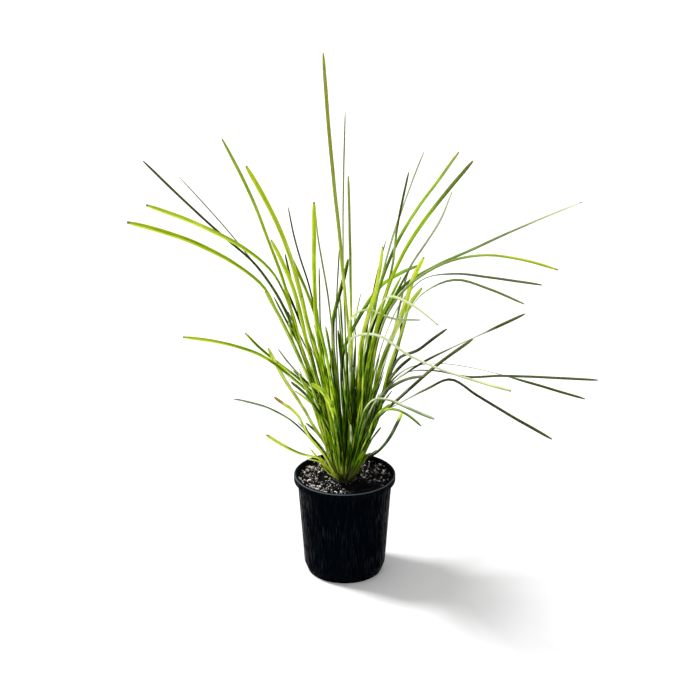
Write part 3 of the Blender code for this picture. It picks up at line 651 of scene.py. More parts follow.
def steps_along(rows):
    """The distance from each row to the next."""
    return np.linalg.norm(np.diff(rows[:, :3], axis=0), axis=1)


longest = max(leaf_names, key=lambda name: steps_along(long_rows[name]).sum())
print("longest blade:", longest, round(1000 * steps_along(long_rows[longest]).sum()), "mm")

# %% What each point of a blade carries
# How light a point is holds the blade's own tone and also painted light and shade.
LAYERS = ("light", "grey", "run", "lot")
ROOT_HEIGHT = 0.1355
SHADE_CENTRE = Vector((0.001, -0.005))
SHADE_DRIFT = Vector((0.05, 0))
SHADE_REACH = 0.017
SHADE_SPREAD = 0.35
SHADE_HEIGHTS = (0.02, 0.06, 0.09, 0.12, 0.22)
SHADE_DEPTHS = (0.2, 0.6, 0.9, 0.9, 0)
DEEPEST_SHADE = 0.36


def open_blades():
    """A bmesh with the layers that the leaf finish reads."""
    shape = bmesh.new()
    shape.loops.layers.uv.new("blade")
    for name in LAYERS:
        shape.verts.layers.float.new(name)
    return shape


def shade_at(stops, share):
    """How light and how grey a blade is at this share of its length."""
    shares, lights, greys = zip(*[(*stop, 0)[:3] for stop in stops])
    return np.interp(share, shares, lights), np.interp(share, shares, greys)


def shade_inside(place):
    """How much darker it is inside the clump, where other blades keep the light off."""
    above = place.z - ROOT_HEIGHT
    aside = place.xy - SHADE_CENTRE - SHADE_DRIFT * above
    reach = aside.length / (SHADE_REACH + SHADE_SPREAD * above)
    depth = np.interp(above, SHADE_HEIGHTS, SHADE_DEPTHS)
    return DEEPEST_SHADE * max(0, 1 - reach) * depth


print("each point carries:", *LAYERS)

# %% Building a blade
ACROSS = 6
ALONG = 44
THICKNESS = 0.00045
ROOT_FOLD = 0.8
TIP_FOLD = 0.32
SOFT_KEEL = 0.03
TWIST = math.radians(9)
TWISTS_PER_METRE = 9
SWAY = 0.0006
SWAYS_PER_METRE = 22
LOT_STEP = 50
FOOT_RUNS = (0, 0.03, 0.09)
FOOT_WIDTHS = (0.5, 0.62, 1)
TIP_START = 0.97
TIP_FULLNESS = [(0.85, 1), (1, 1.4)]
TIP_SET_BACK = 0.0011


def tip_shape(share, across):
    """The tip's width, which the solid narrows too early, and how far its corners are set back."""
    past = max(share - TIP_START, 0) / (1 - TIP_START)
    fuller = np.interp(share, *TIP_FULLNESS)
    corners = 1.2 * across**4 - 0.5 * abs(across)
    return fuller * (1 - 0.4 * past**2), TIP_SET_BACK * past * corners


def forward_sign(fine, forward):
    """1 where the frame's forward points to the tip, else -1."""
    return 1 if Vector(fine[-1, :3] - fine[-2, :3]).dot(forward) > 0 else -1


def add_blade(shape, rows, stops, lot, along=ALONG, across_count=ACROSS):
    """Adds one blade to the bmesh, along these rows, shaded by these stops."""
    layers = [shape.verts.layers.float[name] for name in LAYERS]
    fine = smooth_rows(rows, along)
    lengths = np.append(0, np.cumsum(steps_along(fine)))
    made = bmesh.ops.create_grid(
        shape, x_segments=across_count, y_segments=along, size=1, calc_uvs=True,
    )
    for vert in made["verts"]:
        across, share = vert.co.x, (vert.co.y + 1) / 2
        row = fine[round(share * along)]
        run = lengths[round(share * along)]
        middle, side, out = Vector(row[:3]), Vector(row[3:6]).normalized(), Vector(row[6:9])
        forward = side.cross(out).normalized()
        out = forward.cross(side)
        twist = TWIST * noise.noise(Vector((run * TWISTS_PER_METRE, lot * LOT_STEP, 0)))
        narrower, set_back = tip_shape(share, across)
        half = row[9] / 2 * narrower * np.interp(run, FOOT_RUNS, FOOT_WIDTHS)
        fold = ROOT_FOLD + (TIP_FOLD - ROOT_FOLD) * min(1, 2 * share)
        rise = half * fold * ((across**2 + SOFT_KEEL) ** 0.5 - 0.5)
        sway = SWAY * noise.noise(Vector((run * SWAYS_PER_METRE, lot * LOT_STEP, 7)))
        aside = side * (half * across + sway * min(1, 4 * share))
        place = middle + Matrix.Rotation(twist, 3, forward) @ (aside + out * rise)
        vert.co = place - forward * set_back * forward_sign(fine, forward)
        light, grey = shade_at(stops, share)
        light -= shade_inside(place)
        for layer, value in zip(layers, (light, grey, run, lot)):
            vert[layer] = value
    faces = list(dict.fromkeys(face for vert in made["verts"] for face in vert.link_faces))
    bmesh.ops.solidify(shape, geom=faces, thickness=THICKNESS)


print("faces in one blade's grid:", ACROSS * ALONG)

# %% All the long blades
ROOT_DRAW = 0.5
FOOT_SIDES = (-0.005, 0.005)
FOOT_LIGHTS = [(1.10, 1.65), (0.20, 0.95), (0.05, 0.60)]
FOOT_GREY = 0.05
SHARP = math.radians(50)
RUSTY_LEAVES = ["low_left_leaf_05"]


def drawn_in(rows):
    """The run with its root on the ground and nearer to the crown's middle."""
    rows = rows.copy()
    rows[0, :2] *= ROOT_DRAW
    rows[0, 2] = ROOT_HEIGHT
    return rows


def foot_stop(rows):
    """How light the foot is: often lime on the left, and in the clump's shade elsewhere."""
    third = int(np.interp(rows[0][0], FOOT_SIDES, (0, 2.99)))
    return 0, draw.uniform(*FOOT_LIGHTS[third]), FOOT_GREY


def close_blades(shape, name, material):
    """The object of one or more blades, with outward faces and crisp edges."""
    bmesh.ops.recalc_face_normals(shape, faces=shape.faces)
    for edge in shape.edges:
        edge.smooth = edge.calc_face_angle(0) < SHARP
    made = new_object(name, shape)
    made.data.materials.append(material)
    return made


draw = random.Random(11)
record_slots = {part["node"]: part["material_slot"] for part in frame["record"]["subparts"]}
long_rows = {name: drawn_in(rows) for name, rows in long_rows.items()}
for name in leaf_names:
    shape = open_blades()
    stops = [foot_stop(long_rows[name]), *shades_of(name)]
    lot = draw.random() + (1 if name in RUSTY_LEAVES else 0)
    add_blade(shape, long_rows[name], stops, lot)
    blade = close_blades(shape, name + "_blade", leaf_materials[record_slots[name]])
    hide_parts(name)
    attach(blade, "root")
print("long blades:", len(long_rows), "with", len(blade.data.polygons), "faces each")

# %% [markdown]
# ## The young blades
#
# Between the long blades stand shorter ones. In the CAD model they are one with the crown, so
# their rings are read from the part of its mesh that stands clear of the low dome. They could be
# grown at random instead, but then they would leave the solid that they stand for.

# %% The young blades
DOME_RADIUS = 0.024
DOME_HEIGHT = 0.011
DOME_FOOT = 0.1369
DOME_CLEARANCE = 0.0012
YOUNG_SHADES = [
    [(0.2, 0.50), (1, 0.66)],
    [(0.2, 0.42), (1, 0.50)],
    [(0.2, 0.55), (1, 0.74, 0.1)],
    [(0.2, 0.28), (1, 0.24, 0.1)],
]
YOUNG_ALONG = 30


def dome_top(radius):
    """Height of the crown's dome at this distance from the axis."""
    ball = (DOME_RADIUS**2 + DOME_HEIGHT**2) / (2 * DOME_HEIGHT)
    return DOME_FOOT + DOME_HEIGHT - ball + math.sqrt(max(ball**2 - radius**2, 0))


def on_dome(place):
    radius = place.to_2d().length
    return radius < DOME_RADIUS + DOME_CLEARANCE and place.z < dome_top(radius) + DOME_CLEARANCE


def young_runs():
    """The rows of each blade that grows from the crown's solid."""
    shape = merged_copy("crown")
    low = [vert for vert in shape.verts if on_dome(vert.co)]
    bmesh.ops.delete(shape, geom=low, context="VERTS")
    shape.verts.index_update()
    left, runs = set(shape.verts), []
    while left:
        start = min(left, key=lambda v: ((v.co - CROWN_MIDDLE).length, v.index))
        _, group = furthest_along(start)
        left -= group
        rings = rings_of(start)
        if len(rings) > 3:
            rows = blade_rows(rings)
            runs.append(drawn_in(np.vstack([2 * rows[:1] - rows[1:2], rows])))
    shape.free()
    return runs


young_rows = young_runs()
shape = open_blades()
for index, rows in enumerate(young_rows):
    stops = [foot_stop(rows), *YOUNG_SHADES[index % len(YOUNG_SHADES)]]
    add_blade(shape, rows, stops, draw.random(), YOUNG_ALONG)
young = close_blades(shape, "young_blades", leaf_materials["leaf_green"])
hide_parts("crown")
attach(young, "root")
print(len(young_rows), "young blades,", len(young.data.polygons), "faces")

# %% [markdown]
# ## Sheaths
#
# All blades rise from a low woody crown. What shows of it is mostly old sheaths: short, fraying
# strips that clasp the feet of the blades. Each could be sculpted by hand, but it always lies
# against its blade, so the first stretch of that blade's run is set outward and made wider.

# %% Sheaths
SHEATH_SEGMENTS = 8
SHEATH_WIDENING = 1.25
SHEATH_OUT = 0.0006
SHEATH_LENGTHS = (0.010, 0.030)
SHEATH_TAPER = (1.1, 0.55)
SHEATH_SIDES = (-0.007, 0.002)
SHEATH_LIFTS = (2.6, 1)
SHEATH_SHADES = [
    [(0, 0.35, 0.4), (0.5, 0.40, 0.1), (1, 0.40, 0)],
    [(0, 0.25, 0.5), (0.5, 0.26, 0.2), (1, 0.25, 0)],
    [(0, 0.50, 0.2), (0.5, 0.66, 0), (1, 0.66, 0)],
]


def part_of_run(rows, start, length, count):
    """Evenly spaced rows along one stretch of a run, in metres from its root."""
    fine = smooth_rows(rows, ALONG)
    lengths = np.append(0, np.cumsum(steps_along(fine)))
    wanted = np.linspace(start, start + length, count)
    columns = [np.interp(wanted, lengths, fine[:, k]) for k in range(fine.shape[1])]
    return np.stack(columns, axis=1)


def sheath_stops(rows, index):
    """Sunlit sheaths on the left are more than twice as light."""
    lift = np.interp(rows[0][0], SHEATH_SIDES, SHEATH_LIFTS)
    shades = SHEATH_SHADES[index % len(SHEATH_SHADES)]
    return [(share, light * lift, grey / lift) for share, light, grey in shades]


def sheath_rows(rows, length):
    """A run that hugs the outer side of a blade's foot, and narrows upwards."""
    sheath = part_of_run(rows, 0, length, SHEATH_SEGMENTS)
    outward = sheath[:, :3] * np.array([1, 1, 0])
    outward /= np.linalg.norm(outward, axis=1, keepdims=True) + MERGE
    sheath[:, :3] += SHEATH_OUT * outward
    sheath[:, 9] *= SHEATH_WIDENING * np.linspace(*SHEATH_TAPER, SHEATH_SEGMENTS)
    return sheath


all_rows = [*long_rows.values(), *young_rows]
shape = open_blades()
for index, rows in enumerate(all_rows):
    length = draw.uniform(*SHEATH_LENGTHS)
    add_blade(shape, sheath_rows(rows, length), sheath_stops(rows, index), draw.random(), 10, 4)
sheaths = close_blades(shape, "sheaths", leaf_materials["leaf_pale"])
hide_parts("crown")
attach(sheaths, "root")
print(len(sheaths.data.polygons), "faces in the sheaths")

# %% [markdown]
# ## Side shoots
#
# Narrow side shoots stand round the blades. They are too thin to be solids in the CAD model.
# Particles could scatter them, but these follow no blade. Here each takes the run of a blade next
# to it, drifts a little to one side and ends well before that blade's tip, so the clump fills
# without growing.

# %% A side shoot
SHOOT_SEGMENTS = 9
SHOOT_SHARES = (0.18, 0.62)
LONGEST_SHOOT = 0.24
SHOOT_WIDTHS = (0.0020, 0.0040)
SHOOT_TAPER = [(0, 0.3, 0.8, 1), (0.8, 1, 0.9, 0.45)]
SHOOT_START = 0.0035
SHOOT_DRIFT = 0.055
SHOOT_SIDES = [0.90, 0.64, 0.34, 0.20]
SHOOT_SPREAD = 0.16


def shoot_rows(rows):
    """A narrow run beside a blade's, that drifts away from it and ends before it."""
    length = min(LONGEST_SHOOT, draw.uniform(*SHOOT_SHARES) * steps_along(rows).sum())
    shoot = part_of_run(rows, 0, length, SHOOT_SEGMENTS)
    side, out = shoot[:, 3:6], shoot[:, 6:9]
    along = np.linspace(0, 1, SHOOT_SEGMENTS)[:, None]
    sign = draw.choice((-1, 1))
    start = draw.uniform(0.5, 1) * SHOOT_START
    aside = sign * (start + draw.uniform(0.1, 1) * SHOOT_DRIFT * length * along**1.5)
    shoot[:, :3] += side * aside + out * draw.uniform(-1, 1) * SHOOT_START * (1 - 0.4 * along)
    shoot[:, 9] = draw.uniform(*SHOOT_WIDTHS) * np.interp(along[:, 0], *SHOOT_TAPER)
    return shoot


def shoot_shade(rows):
    """Painted light: lime on the lit left of the clump, and darker in painted shade to the right."""
    place = np.clip(0.5 + rows[-1][0] / SHOOT_SPREAD, 0, 0.999)
    light = SHOOT_SIDES[int(place * len(SHOOT_SIDES))] * draw.choice((0.35, 0.75, 1, 1.15))
    return [(0, 0.6 * light), (0.6, light), (1, light, draw.choice((0, 0, 0.15)))]


print("a side shoot is up to", round(1000 * LONGEST_SHOOT), "mm long")

# %% [markdown]
# ## Tillers
#
# A clump spreads by tillers: short new shoots that push out round its foot, brightest where they
# lean into the light. They could follow the long blades too, but they lean out further, so each
# gets a bent run of its own from a length, a lean and a way round.

# %% Tillers
TILLER_GROUPS = [(22, math.radians(190), 1.0), (20, 0, math.pi)]
TILLER_LENGTHS = (0.024, 0.062)
TILLER_LEANS = (0.3, 0.95)
TILLER_WIDTHS = (0.0040, 0.0068)
TILLER_TAPER = [(0, 0.4, 1), (0.9, 1, 0.3)]
TILLER_ROOT = 0.0055
TILLER_SIDES = (-0.028, -0.003)
TILLER_LIGHTS = (2.2, 0.55)


def tiller_rows(angle):
    """A short new shoot that leans out of the crown this way round, and bends up."""
    length, lean = draw.uniform(*TILLER_LENGTHS), draw.uniform(*TILLER_LEANS)
    along = np.linspace(0, 1, SHOOT_SEGMENTS)
    reach = TILLER_ROOT + length * math.sin(lean) * along**0.85
    outward = np.array([math.cos(angle), math.sin(angle)])
    rows = np.zeros((SHOOT_SEGMENTS, 10))
    rows[:, :2] = reach[:, None] * outward
    rows[:, 2] = ROOT_HEIGHT + length * math.cos(lean) * along**1.15
    rows[:, 3:5] = -outward[1], outward[0]
    rows[:, 6:8] = math.cos(lean) * outward
    rows[:, 8] = -math.sin(lean)
    rows[:, 9] = draw.uniform(*TILLER_WIDTHS) * np.interp(along, *TILLER_TAPER)
    return rows


def tiller_shade(rows):
    """Bright lime where it leans to the left, into the light."""
    light = np.interp(rows[-1][0], TILLER_SIDES, TILLER_LIGHTS) * draw.uniform(0.7, 1.1)
    return [(0, 0.9 * light), (1, light)]


shape = open_blades()
tillers = [
    tiller_rows(middle + draw.uniform(-1, 1) * spread)
    for count, middle, spread in TILLER_GROUPS
    for _ in range(count)
]
for rows in tillers:
    add_blade(shape, rows, tiller_shade(rows), draw.random(), 12, 4)
print(len(tillers), "tillers")

# %% [markdown]
# ## The dry shoot
#
# One pale shoot has dried up in front of the dark middle of the clump. It could be left to
# chance, as the others are, but it is in plain sight. So three points give its run, and its flat
# side faces the front.

# %% The dry shoot
DRY_SHOOT_RUN = [(0.0060, -0.014, ROOT_HEIGHT), (0.0090, -0.038, 0.2000), (0.0082, -0.050, 0.2400)]
DRY_SHOOT_SHADES = [(0.5, 0.3), (0.62, 0.80, 0.3), (0.85, 0.90, 0.35), (1, 0.75, 0.6)]
DRY_SHOOT_WIDTH = 0.0040
DRY_SHOOT_TAPER = [(0, 0.5, 0.8, 1), (0.4, 0.6, 1, 0.2)]
DRY_SHOOT_LOT = 0.5

rows = np.zeros((SHOOT_SEGMENTS, 10))
rows[:, :3] = smooth_rows(np.array(DRY_SHOOT_RUN), SHOOT_SEGMENTS - 1)
rows[:, 3] = 1
rows[:, 7] = -1
rows[:, 9] = DRY_SHOOT_WIDTH * np.interp(np.linspace(0, 1, SHOOT_SEGMENTS), *DRY_SHOOT_TAPER)
add_blade(shape, rows, DRY_SHOOT_SHADES, DRY_SHOOT_LOT, 20, 4)
print("the dry shoot is", round(1000 * steps_along(rows).sum()), "mm long")

# %% [markdown]
# ## Side shoots all over the clump
#
# Each blade gets two side shoots, and a third where it leans to the right, since the clump is
# densest there. A shoot that would end out on the right, where only long blades reach, is left
# out. Each could be an object of its own, but one mesh holds them all and the tillers: it is
# quicker to draw, and every shoot still carries its own shade.

# %% Side shoots all over the clump
SHOOTS_PER_BLADE = 2
CROWDED_REACH = 0.03
CROWDED_WIDTHS = [(0, 0.85), (1, 0.6)]
BARE_REACH = 0.085
BARE_UPPER_REACH = 0.05
UPPER_HEIGHT = 0.30


def stands_clear(tip):
    """Whether this tip is out on the right, where there are long blades only."""
    return tip[0] > (BARE_UPPER_REACH if tip[2] > UPPER_HEIGHT else BARE_REACH)


for rows in all_rows:
    for _ in range(SHOOTS_PER_BLADE + (rows[-1][0] > CROWDED_REACH)):
        shoot = shoot_rows(rows)
        if stands_clear(shoot[-1]):
            continue
        if shoot[-1][0] > CROWDED_REACH:
            shoot = turned(shoot, CROWDED_WIDTHS)
        add_blade(shape, shoot, shoot_shade(shoot), draw.random(), 16, 4)
shoots = close_blades(shape, "side_shoots", leaf_materials["leaf_green"])
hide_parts("crown")
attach(shoots, "root")
print("faces in the side shoots:", len(shoots.data.polygons))

# %% [markdown]
# ## The crown's dome
#
# Between the feet of the blades shows the crown itself: brown, fibrous and half buried. It could
# be a squashed ball, but an arc that is spun round the axis keeps the solid's own curve. It is
# then roughened with noise, and fine stretched noise in its finish makes the fibres.

# %% The crown's dome
HEART_SHARE = 0.72
HEART_STEPS = 48
HEART_ROUGHNESS = 0.0009
HEART_ARC = (0, 0.15, 0.3, 0.45, 0.6, 0.75, 0.87, 0.96, 1)
BARK_TONES = [(0.3, (0.008, 0.006, 0.003)), (0.8, (0.050, 0.038, 0.018))]
MOSSY = (0.04, 0.05, 0.012, 1)


def spun(section, steps):
    """A closed skin from a section of radii and heights, turned once round the axis."""
    shape = bmesh.new()
    points = [shape.verts.new((radius, 0, height)) for radius, height in section]
    lines = [shape.edges.new(ends) for ends in zip(points, points[1:])]
    bmesh.ops.spin(
        shape, geom=points + lines, cent=(0, 0, 0), axis=(0, 0, 1),
        angle=math.tau, steps=steps, use_merge=True,
    )
    bmesh.ops.remove_doubles(shape, verts=shape.verts, dist=MERGE)
    bmesh.ops.recalc_face_normals(shape, faces=shape.faces)
    return shape


def bark_finish():
    """Brown, fibrous remains of old sheaths."""
    bark = Finish("crown_bark", Roughness=0.85)
    x, y, z = bark.parts(bark.object_place())
    fibres = bark.noise(bark.place(x * 900, y * 900, z * 120), 1.0, 4.0)
    patches = bark.noise(bark.object_place(), 130.0)
    bark.give("Base Color", bark.mix(0.4 * patches, bark.ramp(fibres, BARK_TONES), MOSSY))
    bark.bump(fibres, 0.8, 0.0006)
    return bark.material


arc = [DOME_RADIUS * share for share in HEART_ARC]
section = [(HEART_SHARE * radius, dome_top(radius)) for radius in arc]
shape = spun([*section, (0, dome_top(DOME_RADIUS))], HEART_STEPS)
for vert in shape.verts:
    if vert.co.z > dome_top(DOME_RADIUS) + MERGE:
        vert.co.z += HEART_ROUGHNESS * (noise.noise(vert.co * 300) - 0.5)
heart = new_object("crown_heart", shape)
heart.data.materials.append(bark_finish())
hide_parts("crown")
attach(heart, "root")
print("crown's heart:", len(heart.data.polygons), "faces")

# %% [markdown]
# ## The pot
#
# A black nursery pot is one thin moulding: a tapered wall, a skirted rim with rounded edges, a
# chamfered foot with slots for the water, and a raised ring that it stands on. Its section is
# spun once round. The slots are then opened by taking a few faces out of the chamfer. The wall
# behind them stays whole, and is as dark there as the mix in the pot would be. A Boolean would
# cut right through, but leaves long thin faces that shade badly. Last, the sharp edges are
# bevelled, because moulded plastic has none.

# %% The pot
POT_STEPS = 120
POT_SECTION = [
    (0, 0.0040), (0.0490, 0.0040), (0.0500, 0.0048), (0.0547, 0.0128), (0.0552, 0.0150),
    (0.0634, 0.1330), (0.06425, 0.1429), (0.0653, 0.1440), (0.0689, 0.1440), (0.0700, 0.1429),
    (0.0700, 0.1352), (0.0685, 0.1352), (0.0685, 0.1425), (0.0652, 0.1425), (0.0649, 0.1330),
    (0.0565, 0.0150), (0.0562, 0.0128), (0.0521, 0.0022), (0.0513, 0), (0.0420, 0),
    (0.0410, 0.0020), (0.0150, 0.0020), (0.0140, 0), (0, 0),
]
SLOT_HEIGHTS = (0.0022, 0.0128)
SLOT_EVERY = 15
FIRST_SLOT_STEP = 84
POT_BEVEL = 0.00035
POT_SHARP = math.radians(35)


def slot_faces(shape, step):
    """The faces of the chamfer in the two steps beside this one."""
    found = []
    for face in shape.faces:
        middle = face.calc_center_median()
        face_step = math.degrees(math.atan2(middle.y, middle.x)) % 360 / (360 / POT_STEPS)
        heights = [vert.co.z for vert in face.verts]
        ends = zip((min(heights), max(heights)), SLOT_HEIGHTS)
        if abs(face_step - step) < 1 and all(abs(end - wanted) < MERGE for end, wanted in ends):
            found.append(face)
    return found


def open_slots(shape):
    """Opens the drain slots in the chamfer. Gives how many there are."""
    steps = range(FIRST_SLOT_STEP % SLOT_EVERY, POT_STEPS, SLOT_EVERY)
    for step in steps:
        bmesh.ops.delete(shape, geom=slot_faces(shape, step), context="FACES")
    return len(steps)


shape = spun(POT_SECTION, POT_STEPS)
slot_count = open_slots(shape)
bmesh.ops.recalc_face_normals(shape, faces=shape.faces)
corners = [e for e in shape.edges if e.calc_face_angle(0) > POT_SHARP]
bmesh.ops.bevel(
    shape, geom=corners, offset=POT_BEVEL, offset_type="OFFSET", segments=2, profile=0.5,
    affect="EDGES", material=-1, clamp_overlap=True,
)
print("pot:", slot_count, "slots,", len(shape.faces), "faces")

# %% [markdown]
# ## The pot's plastic
#
# The plastic is black with a blue cast, and handling has left pale streaks down its wall. An image
# of scratches would repeat round the pot, so noise that is stretched along the height draws them
# and softer noise picks where they show. On the left and the right of the pot the streaks are more
# and paler, a painted sheen where the wall turns away, and a thin painted highlight runs along the
# rim's edge. Soil clings near the top and the foot, and a thin coat gives the rubbed streaks their
# sheen.

# %% The pot's plastic
BLACK = (0.0004, 0.0013, 0.0026, 1)
RUBBED = (0.010, 0.014, 0.019, 1)
# The paler scuffs of the left and right carry a painted sheen.
SIDE_SCUFFS_AND_SHEEN = (0.022, 0.030, 0.038, 1)
SOIL_DUST = (0.055, 0.050, 0.045, 1)
# A painted highlight on the rim's edge.
RIM_HIGHLIGHT = (0.098, 0.116, 0.134, 1)
RIM_HEIGHTS = (0.1429, 0.1438)
RIM_RADII = (0.0676, 0.0688)
SIDE_REACH = (0.028, 0.062)


def plastic_finish():
    """Black plastic, satin, with faint scuffs that run down the wall and a dusting of soil. Its left
    and right get a painted sheen, and its rim's edge a painted highlight.
    """
    plastic = Finish(
        "pot_black_plastic", IOR=1.2, Specular_IOR_Level=0.004, Specular_Tint=(0.3, 0.7, 1, 1),
        Coat_IOR=1.12, Coat_Roughness=0.16,
    )
    place = plastic.object_place()
    x, y, z = plastic.parts(place)
    scuffs = plastic.noise(plastic.place(x * 620, y * 620, z * 22), 1.0, 5.0)
    fine = plastic.noise(plastic.place(x * 1100, y * 1100, z * 60), 1.0)
    patches = plastic.noise(place, 24.0)
    # Painted sheen: on the pot's left and right the scuffs are more and paler; elsewhere they are
    # wear.
    sheen_sides = x.size().step(*SIDE_REACH)
    wear_and_sheen = scuffs.step(0.55 - 0.06 * sheen_sides, 0.72) * (patches.step(0.44, 0.66) + 0.5 * sheen_sides)
    dust = (z.step(0.128, 0.144) + (1 - z.step(0.004, 0.030))) * fine.step(0.45, 0.75)
    colour = plastic.mix(0.7 * wear_and_sheen, BLACK, plastic.mix(sheen_sides, RUBBED, SIDE_SCUFFS_AND_SHEEN))
    colour = plastic.mix(0.10 * dust, colour, SOIL_DUST)
    reach = (x * x + y * y) ** 0.5
    # Painted highlight: a thin pale line along the rim's top edge.
    rim = z.step(*RIM_HEIGHTS) * reach.step(*RIM_RADII) * (0.2 + 1.7 * fine)
    plastic.give("Base Color", plastic.mix(rim, colour, RIM_HIGHLIGHT))
    rubbed = scuffs.step(0.50, 0.62) * (0.25 + 0.45 * patches.step(0.38, 0.56) + 0.30 * sheen_sides)
    plastic.give("Coat Weight", rubbed * (1 - 0.8 * z.step(0.130, 0.136)))
    plastic.give("Roughness", 0.24 + 0.20 * scuffs + 0.20 * wear_and_sheen)
    plastic.bump(fine * 0.5 + scuffs, 0.30, 0.0005)
    return plastic.material


pot = new_object("pot_shell", shape)
pot.data.materials.append(plastic_finish())
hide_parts("pot")
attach(pot, "root")
print("pot finish:", pot.data.materials[0].name)

# %% [markdown]
# ## The potting mix
#
# The mix is composted bark, nearly black where it is damp. A finer mesh could stand for it, but
# its CAD solid already has the lumpy top, so it stays and gets a dark, crumbly finish. The same
# finish, tinted piece by piece, serves for what lies loose on it.

# %% The potting mix
MIX_TONES = [
    (0.0, (0.0006, 0.0008, 0.0010)),
    (0.45, (0.006, 0.006, 0.0065)),
    (0.66, (0.140, 0.118, 0.112)),
    (0.86, (0.620, 0.540, 0.520)),
    (1.0, (0.990, 0.960, 0.940)),
]


def mix_finish(name, tinted):
    """Damp, crumbly bark. Tinted, each piece of it has its own tone."""
    mix = Finish(name, Specular_IOR_Level=0.08)
    place = mix.object_place()
    crumbs = mix.noise(place, 420.0, 4.0)
    grain = mix.noise(place, 1500.0)
    tone = mix.attribute("tone") + 0.2 * (grain - 0.5) if tinted else 0.55 * crumbs
    mix.give("Base Color", mix.ramp(tone, MIX_TONES))
    mix.give("Roughness", 0.75 + 0.25 * crumbs)
    mix.bump(crumbs + 0.3 * grain, 0.9, 0.0009)
    return mix.material


nodes["potting_mix"].data.materials.clear()
nodes["potting_mix"].data.materials.append(mix_finish("damp_mix", False))
print("the mix's solid keeps its", len(nodes["potting_mix"].data.polygons), "faces")

# %% [markdown]
# ## Chips and grit
#
# Bark chips, grit and crumbs lie all over the mix, paler than the mix itself. Each is a low-faced
# ball that is squashed, stretched and turned at random, because at this size a chip is only a few
# pixels of colour and shadow. Modelled chips could be scattered instead, but they would repeat. A
# ray from above finds the mix's top, so that every piece is sunk in it.

# %% Where the chips lie
SURFACE_RADIUS = 0.0645
GROUND_RADIUS = 0.0600
BANK_START = 0.050
BANK_HEIGHT = 0.0016

ground = BVHTree.FromObject(nodes["potting_mix"], bpy.context.evaluated_depsgraph_get())


def ground_at(x, y):
    """Height of the mix's top here. It is banked up a little against the wall."""
    reach = math.hypot(x, y)
    inside = min(1, GROUND_RADIUS / reach)
    bank = BANK_HEIGHT * np.interp(reach, (BANK_START, SURFACE_RADIUS), (0, 1))
    return ground.ray_cast(Vector((x * inside, y * inside, 0.2)), Vector((0, 0, -1)))[0].z + bank


def random_turn():
    axis = Vector((draw.gauss(0, 1), draw.gauss(0, 1), draw.gauss(0, 1))).normalized()
    return Matrix.Rotation(draw.uniform(0, math.tau), 3, axis)


def random_spot(inner):
    """A place on the mix, evenly spread between this radius and the pot's wall."""
    radius = math.sqrt(draw.uniform(inner**2, SURFACE_RADIUS**2))
    angle = draw.uniform(0, math.tau)
    return radius * math.cos(angle), radius * math.sin(angle)


print("the mix's top in the middle of the front:", round(1000 * ground_at(0, -0.04), 1), "mm")

# %% Chips and grit
CHIP_KINDS = [(1500, 0.0005, 0.0011), (420, 0.0011, 0.0020), (80, 0.0020, 0.0034)]
CHIP_STRETCHES = [(0.8, 2.0), (0.4, 0.9), (0.3, 0.6)]
CHIP_LUMPS = (0.75, 1.2)
CHIP_TILT = 0.5
CRUMB_SIZE = 0.0012
BIG_CHIP_SIZE = 0.0020
CHIPS_FROM = 0.019
# A painted shadow: where the clump's shadow falls on the mix in front, the chips are painted dark.
CLUMP_SHADOW_SPOT = Vector((0.024, -0.034))
CLUMP_SHADOW_RADIUS = 0.025
DARK_PICK = 0.47
TAN_PICK = 0.24


def chip_tone(x, y):
    """Dark, tan or nearly white, and paler towards the left. The chips in front are darker: a painted
    shadow of the clump.
    """
    clump_shadow = math.exp(-((Vector((x, y)) - CLUMP_SHADOW_SPOT).length / CLUMP_SHADOW_RADIUS) ** 4)
    pick = draw.random() + 0.5 * x + 0.55 * clump_shadow
    if pick > DARK_PICK:
        return draw.uniform(0.0, 0.48)
    if pick > TAN_PICK:
        return draw.uniform(0.60, 0.90) - 0.15 * clump_shadow
    return draw.uniform(0.90, 1.05)


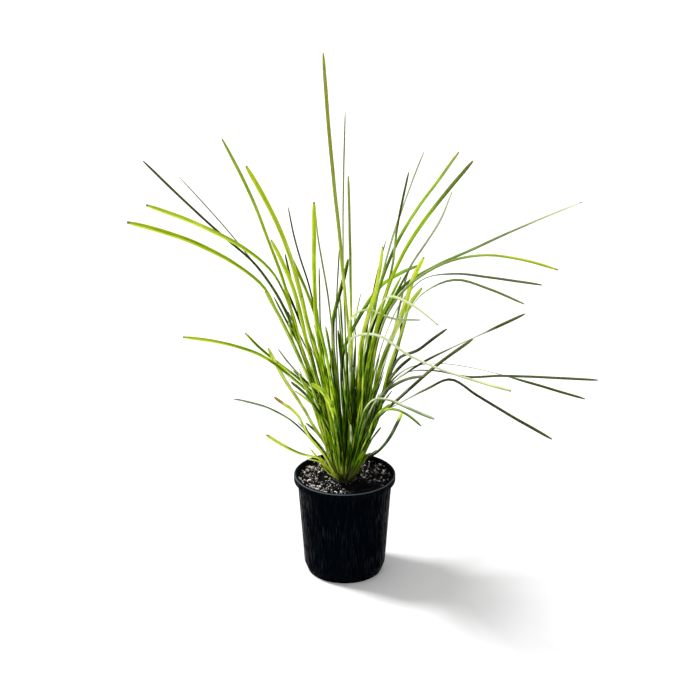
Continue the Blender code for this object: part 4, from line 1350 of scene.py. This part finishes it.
shape = bmesh.new()
tone_layer = shape.verts.layers.float.new("tone")
sizes = [draw.uniform(low, high) for count, low, high in CHIP_KINDS for _ in range(count)]
for size in sizes:
    x, y = random_spot(CHIPS_FROM)
    stretch = Matrix.Diagonal([draw.uniform(*shares) for shares in CHIP_STRETCHES])
    tip, roll = (Matrix.Rotation(draw.gauss(0, CHIP_TILT), 3, axis) for axis in "XY")
    lay = tip @ roll @ Matrix.Rotation(draw.uniform(0, math.tau), 3, "Z") @ stretch @ random_turn()
    detail = 1 if size < CRUMB_SIZE else 2
    ball = bmesh.ops.create_icosphere(shape, subdivisions=detail, radius=size)["verts"]
    tone = chip_tone(x, y) - (0.1 if size > BIG_CHIP_SIZE else 0)
    seat = Vector((x, y, ground_at(x, y) + size * draw.uniform(0, 0.35)))
    for vert in ball:
        vert.co = seat + lay @ (vert.co * draw.uniform(*CHIP_LUMPS))
        vert[tone_layer] = tone
print("chips:", len(shape.faces), "faces")

# %% [markdown]
# ## Bits of stalk
#
# A few dry bits of stalk lie flat among the chips. A curve with a bevel could bend them, but at
# this size a thin six-sided cone looks the same. They join the chips' mesh, because they share
# its finish, and whatever would reach into the pot's wall is drawn in from it.

# %% Bits of stalk
STALK_COUNT = 9
STALKS_FROM = 0.030
STALK_LENGTHS = (0.006, 0.016)
STALK_RADII = (0.0004, 0.0008)
STALK_TAPER = 0.7
STALK_LEAN = math.radians(84)
STALK_LIFT = 0.0018
STALK_TONES = (0.5, 0.8)

for _ in range(STALK_COUNT):
    x, y = random_spot(STALKS_FROM)
    length, thick = draw.uniform(*STALK_LENGTHS), draw.uniform(*STALK_RADII)
    stalk = bmesh.ops.create_cone(
        shape, cap_ends=True, segments=6, radius1=thick, radius2=STALK_TAPER * thick, depth=length,
    )["verts"]
    way = Matrix.Rotation(draw.uniform(0, math.tau), 3, "Z")
    lay = way @ Matrix.Rotation(STALK_LEAN, 3, "Y")
    seat = Vector((x, y, ground_at(x, y) + STALK_LIFT))
    tone = draw.uniform(*STALK_TONES)
    for vert in stalk:
        vert.co = seat + lay @ vert.co
        vert[tone_layer] = tone
for vert in shape.verts:
    reach = vert.co.to_2d().length
    if reach > SURFACE_RADIUS:
        vert.co.xy *= SURFACE_RADIUS / reach
bmesh.ops.recalc_face_normals(shape, faces=shape.faces)
for edge in shape.edges:
    edge.smooth = False
chips = new_object("chips_and_grit", shape)
chips.data.materials.append(mix_finish("loose_bark", True))
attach(chips, "root")
print("on the mix:", len(sizes), "chips and", STALK_COUNT, "bits of stalk")

# %% [markdown]
# ## Measuring and finishing
#
# The box of the finished plant is measured against the box of its CAD model.

# %% Measuring and finishing
new_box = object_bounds()
sizes = {"cad": [list(corner) for corner in cad_box], "visual": [list(corner) for corner in new_box]}
growth = [[round(1000 * (b - a), 1) for a, b in zip(*ends)] for ends in zip(cad_box, new_box)]
print("box grows by mm:", growth)
